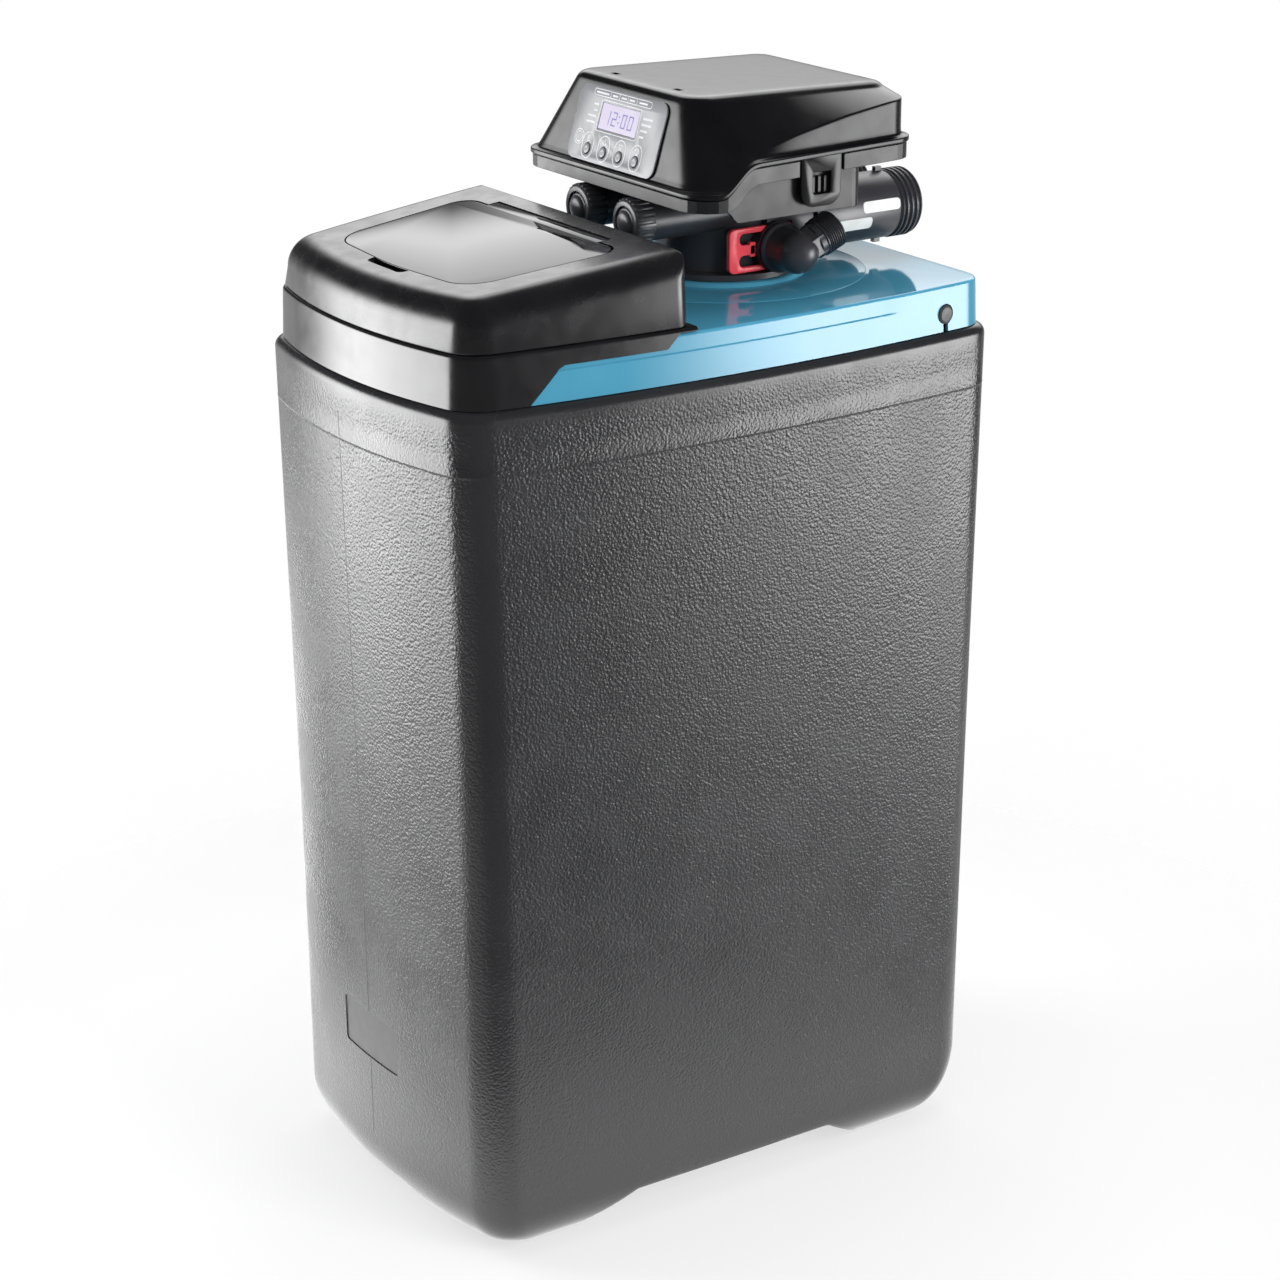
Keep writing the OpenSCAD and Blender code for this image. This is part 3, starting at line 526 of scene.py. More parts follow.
@dataclass(frozen=True)
class Finish:
    """Moulded plastic: colour that drifts a little, uneven gloss, fine grain."""

    name: str
    colour: str
    drift: str
    rough: float = 0.4
    rough_drift: float = 0.08
    patch: float = 45.0
    grain: float = 0.7
    depth: float = 0.012
    metallic: float = 0.0
    ior: float = 1.5
    edge: float = 0.0

    def tint(self, tree: Tree, at: Socket) -> Socket:
        """Colour of the surface."""
        inputs = {0: mottle(tree, at, self.patch, 0, 1), 6: linear(self.colour), 7: linear(self.drift)}
        return add(tree, "ShaderNodeMix", inputs, 2, data_type="RGBA")

    def height(self, tree: Tree, at: Socket) -> Socket:
        """Height of the grain."""
        return add(tree, "ShaderNodeTexNoise", {"Vector": at, "Scale": 1 / (self.grain * MM), "Detail": 2.0})

    def gloss(self, tree: Tree, at: Socket) -> Socket:
        """Roughness of the surface."""
        spread = self.rough_drift / 2
        return mottle(tree, at, self.patch * 0.4, self.rough - spread, self.rough + spread)

    def shine(self, tree: Tree, at: Socket) -> dict[str, Value]:
        """Further inputs of the shader."""
        return {}

    def build(self) -> bpy.types.Material:
        """Makes the material once.

        Returns:
            The material.
        """
        if self.name in bpy.data.materials:
            return bpy.data.materials[self.name]
        material = bpy.data.materials.new(self.name)
        material.use_nodes = True
        tree = material.node_tree
        tree.nodes.clear()
        at = add(tree, "ShaderNodeTexCoord", out="Object")
        bump = {"Height": self.height(tree, at), "Distance": self.depth * MM, "Strength": 1.0}
        if self.edge:
            bump["Normal"] = add(tree, "ShaderNodeBevel", {"Radius": self.edge * MM}, samples=4)
        inputs = {
            "Base Color": self.tint(tree, at),
            "Roughness": self.gloss(tree, at),
            "Metallic": self.metallic,
            "IOR": self.ior,
            "Normal": add(tree, "ShaderNodeBump", bump),
        }
        shader = add(tree, "ShaderNodeBsdfPrincipled", inputs | self.shine(tree, at))
        add(tree, "ShaderNodeOutputMaterial", {"Surface": shader})
        return material


@dataclass(frozen=True)
class PebbledShell(Finish):
    """Blow-moulded polyethylene with a pebbled grain that fades out at the rim and at the foot."""

    pebble: float = 2.2

    def height(self, tree: Tree, at: Socket) -> Socket:
        """Height of the pebbles, of uneven size and faded at the rim and foot.

        Args:
            tree: The material's tree.
            at: Object coordinates.
        Returns:
            The height, as a share of the depth.
        """
        z = add(tree, "ShaderNodeSeparateXYZ", {0: at}, "Z")
        cells = add(tree, "ShaderNodeTexVoronoi", {"Vector": at, "Scale": 1 / (self.pebble * MM), "Smoothness": 0.6},
                    feature="SMOOTH_F1")
        soft = add(tree, "ShaderNodeTexNoise", {"Vector": at, "Scale": 1 / (self.pebble * 0.9 * MM), "Detail": 2.0})
        pebbles = add(tree, "ShaderNodeMath", {0: cells, 1: -1.0, 2: soft}, operation="MULTIPLY_ADD")
        foot = add(tree, "ShaderNodeMapRange", {0: z, 1: 0.012, 2: 0.07, 3: 0.25, 4: 1.0},
                   interpolation_type="SMOOTHSTEP")
        rim = add(tree, "ShaderNodeMapRange", {0: z, 1: 0.660, 2: 0.675, 3: 1.0, 4: 0.12},
                  interpolation_type="SMOOTHSTEP")
        band = add(tree, "ShaderNodeMath", {0: foot, 1: rim}, operation="MULTIPLY")
        return add(tree, "ShaderNodeMath", {0: pebbles, 1: band}, operation="MULTIPLY")


@dataclass(frozen=True)
class LitWindow(Finish):
    """Backlit display window behind a clear lens."""

    glow: float = 0.15

    def shine(self, tree: Tree, at: Socket) -> dict[str, Value]:
        """Backlight, a little uneven.

        Args:
            tree: The material's tree.
            at: Object coordinates.
        Returns:
            Inputs of the shader by socket name.
        """
        inputs = {0: mottle(tree, at, 18, 0, 1), 6: linear(self.colour), 7: linear(self.drift)}
        light = add(tree, "ShaderNodeMix", inputs, 2, data_type="RGBA")
        return {"Emission Color": light, "Emission Strength": self.glow}


@dataclass(frozen=True)
class Beads(Finish):
    """Loose round beads."""

    def height(self, tree: Tree, at: Socket) -> Socket:
        """Round tops of the beads."""
        cells = add(tree, "ShaderNodeTexVoronoi", {"Vector": at, "Scale": 1 / (self.grain * MM)})
        return add(tree, "ShaderNodeMath", {0: 1.0, 1: cells}, operation="SUBTRACT")


@dataclass(frozen=True)
class Wound(Finish):
    """Glass fibre wound round a tank: fine slanted bands."""

    def height(self, tree: Tree, at: Socket) -> Socket:
        """Bands of the winding.

        Args:
            tree: The material's tree.
            at: Object coordinates.
        Returns:
            The height, as a share of the depth.
        """
        turned = add(tree, "ShaderNodeMapping", {"Vector": at, "Rotation": (0.35, 0.2, 0)})
        inputs = {"Vector": turned, "Scale": 1 / (self.grain * 6 * MM), "Distortion": 1.5}
        return add(tree, "ShaderNodeTexWave", inputs, 1, bands_direction="Z")


@dataclass(frozen=True)
class Brushed(Finish):
    """Metal with fine drawn lines."""

    def height(self, tree: Tree, at: Socket) -> Socket:
        """Lines along X."""
        drawn = add(tree, "ShaderNodeMapping", {"Vector": at, "Scale": (0.02, 1, 1)})
        return add(tree, "ShaderNodeTexNoise", {"Vector": drawn, "Scale": 1 / (self.grain * MM), "Detail": 2.0})


# Blow-moulded polyethylene from a blasted mould: dark grey, waxy, broad glints broken up by pebbles
SHELL = PebbledShell("pebbled_polyethylene", "#232325", "#28282A", rough=0.26, depth=0.24, patch=120, ior=1.51)
# The same polyethylene where the mould is polished: even, with a softer sheen
SMOOTH_SHELL = Finish("smooth_polyethylene", "#252527", "#29292B",
                      rough=0.42, depth=0.03, grain=1.6, patch=30, ior=1.51)
# Injection-moulded ABS with a spark-eroded texture: deep black with blurred reflections
SATIN = Finish("satin_black_abs", "#111113", "#161618", rough=0.25, depth=0.010, grain=0.9, ior=1.53)
# ABS from a polished tool: black with nearly clear reflections
SKIRT = Finish("polished_black_abs", "#131315", "#18181A", rough=0.20, depth=0.008, grain=0.9, ior=1.53)
# High-gloss blue ABS: strong body colour under a mirror surface with a faint moulding ripple
DECK = Finish("glossy_blue_abs", "#458FAC", "#4B95B2",
              rough=0.07, rough_drift=0.04, depth=0.004, grain=6, patch=90, ior=1.53)
# Piano-black ABS of the flap: reads as whatever it mirrors
FLAP = Finish("piano_black_abs", "#0B0B0D", "#0F0F11", rough=0.06, rough_drift=0.04, depth=0.003, grain=9, ior=1.53)
# Fine-textured black ABS of the head: dark, with long soft gradients
COVER = Finish("fine_textured_black_abs", "#0C0C0E", "#101012",
               rough=0.24, rough_drift=0.06, depth=0.006, grain=0.8, ior=1.37)
# Polypropylene with a coarser grain: greyer black
BASE = Finish("textured_black_pp", "#161618", "#1C1C1E", rough=0.34, depth=0.02, grain=0.8, ior=1.42, edge=0.8)
# Glass-filled plastic: black with a slightly cloudy skin where fibres lie near the surface
VALVE = Finish("glass_filled_black", "#2E2E32", "#353539", rough=0.35, depth=0.02, grain=0.9, ior=1.54, edge=0.7)
# Red acetal: saturated and slippery-looking
CLIP = Finish("glossy_red_pom", "#E8505C", "#DE4955", rough=0.22, depth=0.006, grain=1.5, ior=1.48, edge=0.4)
# Screen-printed polyester membrane: mid grey, fine matt tooth
PANEL = Finish("grey_membrane", "#77787C", "#7E7F83", rough=0.36, depth=0.006, grain=0.5, ior=1.57)
# Polycarbonate key tops: a darker grey, smoother than the membrane
BUTTON = Finish("grey_button_pc", "#5C5D61", "#646569", rough=0.30, depth=0.006, grain=0.6, ior=1.58)
# Screen ink: off-white with thin spots
INK = Finish("white_print", "#E4E6EA", "#D6D8DC", rough=0.5, depth=0.004, grain=0.4, patch=6)
# Dark segments of the display: violet against the backlight
DIGIT = Finish("display_segments", "#4A3A8C", "#54449A", rough=0.4, depth=0.002, grain=0.5, patch=8)
# Display lens: clear gloss over an even lilac backlight
GLASS = LitWindow("lit_lilac_window", "#8C80A0", "#938AA8", rough=0.12, depth=0.002, grain=4)
# Coated paper: white, faintly fibrous
LABEL = Finish("white_paper_label", "#EDEDEB", "#E2E2DF", rough=0.5, depth=0.01, grain=0.6, patch=10)
# Nitrile rubber: flat black
RUBBER = Finish("black_rubber", "#0C0C0C", "#131313", rough=0.6, depth=0.02, grain=0.6, ior=1.52)
# Moulded bung: dark grey rubber with a dull shine
BUNG = Finish("dark_rubber_bung", "#2B2B2D", "#323234", rough=0.42, depth=0.012, grain=0.8, ior=1.52, edge=0.4)
# Zinc-plated steel: drawn lines in a pale metal
STEEL = Brushed("zinc_plated_steel", "#B9BBBE", "#A9ABAF", rough=0.28, depth=0.006, grain=0.3, metallic=1.0)
# Nylon gears: warm white, slightly waxy
NYLON = Finish("white_nylon", "#E9E6DC", "#DDD9CC", rough=0.42, depth=0.01, grain=0.8, ior=1.53)
# Lapped alumina: white with a tight sheen
CERAMIC = Finish("lapped_ceramic", "#E8E8E4", "#DEDEDA", rough=0.22, depth=0.003, grain=0.6, ior=1.76)
# Wound glass fibre in blue resin: slanted bands
TANK = Wound("wound_glass_fibre", "#2C5D8C", "#2A5580", rough=0.36, depth=0.12, grain=0.8, ior=1.55)
# Softening resin: wet amber beads
RESIN = Beads("resin_beads", "#B98232", "#C7933F", rough=0.4, depth=0.35, grain=0.9, patch=4, ior=1.55)
# Extruded PVC pipe: white, dull gloss
PIPE_WHITE = Finish("white_pvc", "#E6E6E2", "#DBDBD6", rough=0.38, depth=0.008, grain=1.2, ior=1.53)
# Foamed polypropylene float: orange, matt
FLOAT = Finish("orange_float_pp", "#D9531E", "#C74917", rough=0.42, depth=0.015, grain=0.9, ior=1.49)
# Solder mask over copper tracks: green with small blotches
BOARD = Finish("solder_masked_board", "#1C6B38", "#155A2E", rough=0.3, depth=0.02, grain=1.6, patch=3, ior=1.55)


def fit(piece: Object, body: str, finish: Finish, slot: str, *nodes: str) -> Object:
    """Gives a piece its finish and body, and lets it stand for CAD nodes.

    Args:
        piece: The piece.
        body: CAD body that it rides on.
        finish: Its finish.
        slot: Material slot of the record; not used.
        nodes: CAD nodes that it stands for.
    Returns:
        The piece.
    """
    piece.data.materials.clear()
    piece.data.materials.append(finish.build())
    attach(piece, body)
    if nodes:
        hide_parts(*nodes)
    LOG.info("%s rides %s, %d faces", piece.name, body, len(piece.data.polygons))
    return piece


@dataclass
class Cabinet:
    """Tall blow-moulded shell with arches between its corner feet."""

    round_low: Point = (38.0, 51.0, 66.0)
    round_rim: float = 8.0
    least_corners: Flat = (28, 17)
    side_arch: float = 30.0
    front_arch: float = 28.0
    rear_arch: float = 24.0
    # Start and run of the end slopes of the side arches, and half width and run of the front arch's slopes
    side_ends: tuple[Flat, Flat] = ((-150.0, 62.0), (146.0, 48.0))
    front_ends: Flat = (80.0, 45.0)
    # Where the arches' roofs start and how they rise outwards: at the sides, the front and the rear
    roofs: tuple[Flat, Flat, Flat] = ((107.5, 0.69), (189.5, 0.644), (183.8, 0.568))
    # Height of the tunnels under the floor from side to side and from front to rear
    tunnels: Flat = (13.0, 6.0)
    insert_line: float = 634.0
    clear: float = 0.05
    wall: float = 4.5
    patch: Point = (41.0, 124.4, 163.9)

    def foot(self, ring: list[Point]) -> list[Point]:
        """Lifts a low ring to the arches between the feet.

        Args:
            ring: The ring.
        Returns:
            The lifted ring.
        """
        (fore, aft), wide, (out, ahead, back) = self.side_ends, self.front_ends, self.roofs
        lifted = []
        for x, y, z in ring:
            side = self.side_arch * max(0.0, min(1.0, (y - fore[0]) / fore[1], (aft[0] - y) / aft[1]))
            side = min(side, (abs(x) - out[0]) * out[1])
            front = self.front_arch * max(0.0, min(1.0, (wide[0] - abs(x)) / wide[1]))
            front = min(front, (-y - ahead[0]) * ahead[1] if y < 0 else min(self.rear_arch, (y - back[0]) * back[1]))
            across = self.tunnels[0] * (1 - smooth_step(112, 126, abs(y)))
            along = self.tunnels[1] * (1 - smooth_step(66, 70, abs(x)))
            lift = max(side, front, across, along)
            near = max(0.0, 3.0 - abs(z - lift)) / 3.0
            lifted.append((x, y, max(z, lift) + near * near * 0.75 * (z < 60)))
        return lifted

    def build(self) -> Object:
        """Makes the shell.

        Returns:
            The piece.
        """
        base = self.round_low[2]
        sole = level(cabinet_plan(0, *self.round_low, self.least_corners), 0.0)
        rings = [self.foot([(x * s, y * s, 0.0) for x, y, _ in sole])
                 for s in (0.02, 0.35, 0.6, 0.7, 0.8, 0.88, 0.94, 0.97)]
        for i in range(33):
            z = base * (1 - math.cos(math.radians(90 * i / 32)))
            insets = [tuck(r, z) + self.clear for r in self.round_low]
            rings.append(self.foot(level(cabinet_plan(z, *insets, self.least_corners), z)))
        steps = [(base + (RIM - self.round_rim - base) * i / 30, 0.0) for i in range(1, 31)]
        steps += [(self.insert_line + dz, -out) for dz, out in ((-0.9, 0.0), (-0.4, 0.22), (0.4, 0.22), (0.9, 0.0))]
        rings += [level(cabinet_plan(z, off + self.clear), z) for z, off in sorted(steps)]
        for i in range(1, 9):
            q = math.radians(90 * i / 8)
            z = RIM - self.round_rim * (1 - math.sin(q))
            rings.append(level(cabinet_plan(z, self.round_rim * (1 - math.cos(q))), z))
        inner = [(15, 0, RIM), (15, 0, RIM - 6)]
        inner += [(self.wall, 0, z) for z in (662, 540, 440, 330, 220, 120)]
        inner += [(self.wall, 3, 52), (13.5, 6, 27), (34.5, 0, 18)]
        rings += [level(cabinet_plan(z, off, off, off + rear), z) for off, rear, z in inner]
        return carve(Skin().loft(rings).build("cabinet_shell_skin", 40), self.pocket(), 40)

    def pocket(self) -> Skin:
        """Form that sinks the smooth patch into the front.

        Returns:
            The form, wider at its mouth.
        """
        half, low, high = self.patch
        corner = 3.0
        rings = []
        for i in range(41):
            share = -1 + 2 * i / 40
            x = half * math.copysign(1 - (1 - abs(share)) ** 1.5, share)
            cut = corner - math.sqrt(max(0.0, corner**2 - max(0.0, abs(x) - half + corner) ** 2))
            spots = [(x, low + cut + 0.5, -1.0), (x, high - cut - 0.5, -1.0)]
            spots += [(x * 1.012, high - cut + 0.5, 1.0), (x * 1.012, low + cut - 0.5, 1.0)]
            rings.append([self.on_front(*spot) for spot in spots])
        return Skin().loft(rings)

    def on_front(self, x: float, z: float, proud: float) -> Point:
        """Point on the bowed front, or proud of it by a distance."""
        plan = cabinet_plan(z, 0)
        return x, plan.front + plan.front_r - math.sqrt((plan.front_r + proud) ** 2 - x * x), z

    def build_marks(self) -> Object:
        """Makes the smooth patch low on the front and the mould's seam above and below it.

        Returns:
            The piece.
        """
        half, low, high = self.patch
        wide, tall = 24, 4
        columns = [-half + 0.4 + (2 * half - 0.8) * i / wide for i in range(wide + 1)]
        rows = [low + 0.7 + (high - low - 1.4) * i / tall for i in range(tall + 1)]
        corners = [r * (wide + 1) + c for r in range(tall) for c in range(wide)]
        marks = Skin().add([self.on_front(x, z, -0.94) for z in rows for x in columns],
                           [[i, i + 1, i + wide + 2, i + wide + 1] for i in corners])
        ridge = ((-0.7, -0.1), (-0.25, 0.12), (0.25, 0.12), (0.7, -0.1))
        for z0, z1 in ((60, low - 1), (high + 1, RIM - 25)):
            marks.loft([[self.on_front(dx, z0 + (z1 - z0) * k / 16, out) for dx, out in ridge] for k in range(17)])
        return marks.build("cabinet_front_marks", 40)

    def dress(self) -> None:
        """Finishes the shell and the marks on its front."""
        fit(self.build(), "cabinet", SHELL, "cabinet_plastic", "cabinet_shell")
        fit(self.build_marks(), "cabinet", SMOOTH_SHELL, "cabinet_plastic")


@dataclass
class Top:
    """Blue deck and black lid frame, which share one outline and part along a stepped edge."""

    rim: float = 680.5
    top: float = 716.0
    frame_top: float = 719.8
    valve_y: float = 90.0

    def skin(self, top: float, edge: float, groove: float) -> Skin:
        """Skirt and top of the deck or the frame.

        Args:
            top: Height of its top.
            edge: Round-over of its upper edge.
            groove: Depth of the step along the sides.
        Returns:
            The skin.
        """
        arcs = [math.radians(90 * i / 8) for i in range(9)]
        outer = [(0.0, self.rim), (0.3, self.rim + 6), (0.85, 700.6)]
        outer += [(0.9, z) for z in (701.8, 702.3, 702.8, 703.3, 703.9)] if groove else [(0.9, top - 14)]
        outer += [(1.4 + edge * (1 - math.cos(q)), top - edge + edge * math.sin(q)) for q in arcs]
        inner = [(edge + 4, top - 3), (5, top - 5), (3.9, top - 14), (3, self.rim)]
        rings = []
        for off, z in inner + outer:
            ring = level(deck_plan(off), z)
            if groove and (off, z) in outer:
                sunk = groove * smooth_step(702.1, 703.5, z)
                ring = [(x - math.copysign(sunk * (1 - smooth_step(128, 158, y)), x) * (abs(x) > 100), y, pz)
                        for x, y, pz in ring]
            rings.append(ring)
        return Skin().loft(rings)

    def edge(self, gap: float) -> list[Flat]:
        """Region of the frame seen from the side.

        Args:
            gap: How far it reaches past the frame's own edge.
        Returns:
            Outline as (y, z).
        """
        low = [(-300, 640), (-216 + gap, 640 - gap), (-152 + gap, 704 - gap), (-147 + gap, 706.5 - gap),
               (-63 + gap, 706.5 - gap), (-52 + gap, 717 - gap), (-37 + gap, 717 - gap)]
        return low + [(-37 + gap, 760), (-300, 760)]

    def build_deck(self) -> Object:
        """Makes the deck.

        Returns:
            The piece.
        """
        deck = self.skin(self.top, 2.5, 1.2).build("deck_skin", 35)
        turn = Matrix.Rotation(math.radians(6.4), 4, "Z")
        cuts = [Skin().side(self.edge(0.35), 200), Skin().box((-146, -62, 700), (146, -52.6, 730)),
                Skin().lathe([(59, -20), (59, 20)], place(0, self.valve_y, self.top), 96),
                Skin().lathe([(7.9, -15), (7.9, 15)], place(140, 199, 694, turn @ Axis.X.value), 40),
                Skin().box((-15, -2.5, -7), (15, 2.5, 7), place(140, 199, 684, turn))]
        for cut in cuts:
            carve(deck, cut, 35)
        rings = Skin()
        for profile in ([(59.5, -1), (114, -1), (114, 0.0), (113.8, 0.2), (113.4, 0.3), (59.5, 0.3), (59.5, -1)],
                        [(59, -1), (68.4, -1), (67.4, 1.1), (67, 2), (66.4, 2.9), (65.5, 3.4), (59, 3.4), (59, -1)]):
            rings.lathe(profile, place(0, self.valve_y, self.top), 128)
        return join(deck, rings.build("deck_rings", 50))

    def build_frame(self) -> Object:
        """Makes the lid frame.

        Returns:
            The piece.
        """
        frame = self.skin(self.frame_top, 3, 0).build("lid_frame_skin", 35)
        carve(frame, Skin().side(self.edge(0), 200), 35, Cut.KEEP)
        hole = [(x, y) for x, y, _ in deck_plan(17, -56).points()]
        carve(frame, Skin().prism(hole, 640, 760), 35)
        outer = [(x, y) for x, y, _ in deck_plan(14.5, -53.5).points()]
        lip = ((hole, 718.8), (hole, 703.8), (outer, 703.8), (outer, 718.8), (hole, 718.8))
        rings = [[(x, y, z) for x, y in outline] for outline, z in lip]
        return join(frame, Skin().loft(rings, ends=False).build("frame_lip", 50))

    def dress(self) -> None:
        """Finishes both."""
        fit(self.build_deck(), "cabinet", DECK, "deck_blue", "deck")
        fit(self.build_frame(), "cabinet", SKIRT, "frame_black", "lid_frame")


def flap_path(grow: float) -> list[Flat]:
    """Outline of the flap on the lid's plane.

    Args:
        grow: Gap added all round.
    Returns:
        The outline.
    """
    rear = -10.8 + 3 * grow
    left = [(-109 - grow, rear), (-97 - grow, -134 - grow)]
    corners = [*left, (0, -141 - grow), *((-x, y) for x, y in reversed(left))]
    return round_path(corners, [16, 30, 300, 30, 16], 12, 2)


@dataclass
class Lid:
    """Lift-off salt lid with the fill flap."""

    round_over: float = 21.0
    skin: float = 3.0

    def ring(self, q: float, off: float, drop: float) -> list[Point]:
        """Ring of the round-over, small at the rear edge and large elsewhere.

        Args:
            q: Angle of the round-over, in radians.
            off: Inset of an inner ring.
            drop: Depth of an inner ring.
        Returns:
            The ring.
        """
        plan = lid_plan(2.4 + off + self.round_over * (1 - math.cos(q)), 1 + off + 5 * (1 - math.cos(q)))
        return [(x, y, LID_Z + (y - LID_Y) * LID_SLOPE - drop
                 - (self.round_over - 16 * max(0.0, n) ** 2) * (1 - math.sin(q))) for x, y, n in plan.points()]

    def build_lid(self) -> Object:
        """Makes the lid.

        Returns:
            The piece.
        """
        turns = [math.radians(90 * i / 14) for i in range(15)]
        rings = [self.ring(q, self.skin, 6) for q in reversed(turns[::2])]
        rings += [level(lid_plan(off, off), 720.3) for off in (self.skin, 0.8)]
        rings += [level(lid_plan(0.2, 0.2), 720.6), level(lid_plan(0, 0), 721.3)]
        rings += [self.ring(q, 0, 0) for q in turns]
        lid = Skin().loft(rings).build("salt_lid_skin", 35)
        ends = [(9 * math.sin(q), -27 + 6 * (1 - math.cos(q))) for q in (0.02, 0.4, 0.8, 1.2, math.pi / 2)]
        scoop = ends + [(r, -z) for r, z in reversed(ends)]
        opening = [(-92, -20), (-80, -122), (80, -122), (92, -20)]
        for cut in (Skin().prism(flap_path(0.6), -2.9, 10, ON_LID), Skin().prism(opening, -30, 5, ON_LID),
                    Skin().box((-79, -12, -20), (79, 0.8, 20), ON_LID),
                    Skin().lathe(scoop, ON_LID @ place(0, -140, 4.4, Axis.X), 48)):
            carve(lid, cut, 35)
        lugs = Skin()
        for side in (-82.2, 82.2):
            lugs.box((side - 3, -7.5, -10), (side + 3, -0.5, -3), ON_LID)
        return join(lid, lugs.build("lid_lugs"))

    def build_flap(self) -> Object:
        """Makes the flap.

        Returns:
            The piece.
        """
        plate = Skin().prism(flap_path(0), -2.6, 0, ON_LID).build("fill_flap_skin")
        soften(plate, 0.7, 40, 3)
        strip = Skin().box((-78, -12, -2.6), (78, -1.6, 0), ON_LID)
        barrel = Skin().lathe([(1.55, -78), (3.2, -78), (3.2, 78), (1.55, 78), (1.55, -78)],
                              ON_LID @ place(0, -4, -3.6, Axis.X), 32)
        return join(plate, soften(strip.build("flap_strip"), 0.5, 40, 2), barrel.build("flap_barrel", 50))

    def dress(self) -> None:
        """Finishes both."""
        fit(self.build_lid(), "lid", SATIN, "frame_black", "salt_lid")
        fit(self.build_flap(), "flap", FLAP, "flap_black", "fill_flap")


@dataclass
class Head:
    """Glossy cover of the control head with its latches."""

    parting_low: float = 801.0

    def parting(self, y: float) -> float:
        """Height of the parting edge by depth."""
        return self.parting_low + 20 * smooth_step(6, 36, y) + max(0.0, y - 36) * 0.02

    def crease(self, y: float) -> float:
        """Height of the crease on the sides by depth.

        Args:
            y: Depth.
        Returns:
            The height.
        """
        knots = [(-20, 809), (10, 812), (30, 822), (47, 831), (80, 840), (126, 849), (167, 855), (200, 857)]
        for (y0, z0), (y1, z1) in zip(knots, knots[1:]):
            if y <= y1:
                return max(z0 + (z1 - z0) * max(0.0, y - y0) / (y1 - y0), self.parting(y) + 7)
        return knots[-1][1]

    def build(self) -> Object:
        """Makes the cover.

        Returns:
            The piece.
        """

        def roof(y: float) -> float:
            """Height of the top by depth."""
            return 868.5 - (y - 9) * 0.024

        def ring(wf: float, wr: float, yf: float, yr: float, rf: float, rr: float,
                 z: Callable[[float], float]) -> list[Point]:
            """Ring by half widths, depths and corner radii at front and rear, and height by depth."""
            flat = round_path([(-wf, yf), (wf, yf), (wr, yr), (-wr, yr)], [rf, rf, rr, rr], 10, 24)
            return [(x, y, z(y)) for x, y in flat]

        def between(a: list[Point], b: list[Point], *shares: float) -> list[list[Point]]:
            """Rings part of the way from one to another."""
            return [[tuple(Vector(p).lerp(Vector(q), s)) for p, q in zip(a, b)] for s in shares]

        inner = [
            ring(76, 75, 13, 181, 12, 9, lambda y: roof(y) - 3.2),
            ring(83, 82, 8, 186.5, 17, 13, lambda y: roof(y) - 7.5),
            ring(114, 109.5, -7.4, 183.5, 21, 15, lambda y: self.crease(y) - 0.8),
            ring(116, 109.5, -8.6, 183, 21, 15, lambda y: self.parting(y) + 5),
            ring(116, 109.5, -8.6, 183, 21, 15, self.parting),
        ]
        rim = [ring(126 - d, 118 - d, -16 + d, 191 - d, 26 - d, 20 - d, lambda y, up=up: self.parting(y) + up)
               for d, up in ((0.7, 0.0), (0.2, 0.2), (0.0, 0.8), (0.0, 3.1), (0.3, 3.7), (1.0, 4.1))]
        foot = ring(120.3, 113.8, -12.2, 186.6, 24, 18, lambda y: self.parting(y) + 4.9)
        wall = ring(119.5, 113, -11.8, 186, 24, 18, lambda y: self.parting(y) + 6.0)
        fold = ring(117, 112.5, -10.76, 186.5, 24, 18, self.crease)
        edge = ring(85, 84, 5.8, 190, 20, 16, lambda y: roof(y) - 4.2)
        edge2 = ring(81.5, 80.5, 8.6, 187, 17, 13, lambda y: roof(y) - 1.3)
        top = ring(77, 76, 12.5, 183, 14, 10, roof)
        rings = [*inner, *rim, foot, wall, *between(wall, fold, 0.3, 0.7, 0.92), fold]
        rings += [*between(fold, edge, 0.05, 0.15, 0.5, 0.85, 0.96), edge]
        rings += [*between(edge, edge2, 0.5), edge2, *between(edge2, top, 0.5), top]
        rings += [[(x * s, 98 + (y - 98) * s, roof(98 + (y - 98) * s)) for x, y, _ in top] for s in (0.9, 0.5, 0.02)]
        cover = Skin().loft(rings).build("head_cover_skin", 60)
        change = cover.modifiers.new("smooth", "SUBSURF")
        change.levels = change.render_levels = 1
        bake(cover, 60)
        cut = Skin().box((-52, -54, -20), (52, -6, 20), ON_PANEL)
        for side in (-42.2, 42.2):
            cut.box((side - 4.5, 19.5, 860), (side + 4.5, 24.5, 876))
        carve(cover, cut, 50)
        latches = []
        for side in (-118, 118):
            outer = round_block((80, 785), (117, 826), [12, 12, 1, 1])
            hole = round_block((90.8, 794.6), (107.2, 811), [2, 2, 1, 1], 4)
            latch = Skin().side(outer, 1.5, side).build("latch")
            carve(latch, Skin().side(hole, 4, side))
            latches.append(soften(latch, 0.6, 35, 2))
        return join(cover, *latches)

    def dress(self) -> None:
        """Finishes the cover."""
        fit(self.build(), "cover", COVER, "cover_black", "head_cover")


class Segment(Enum):
    """Lit segments of a sign: top, upper right, lower right, bottom, lower left, upper left, middle."""

    ZERO = (1, 1, 1, 1, 1, 1, 0)
    ONE = (0, 1, 1, 0, 0, 0, 0)
    TWO = (1, 1, 0, 1, 1, 0, 1)


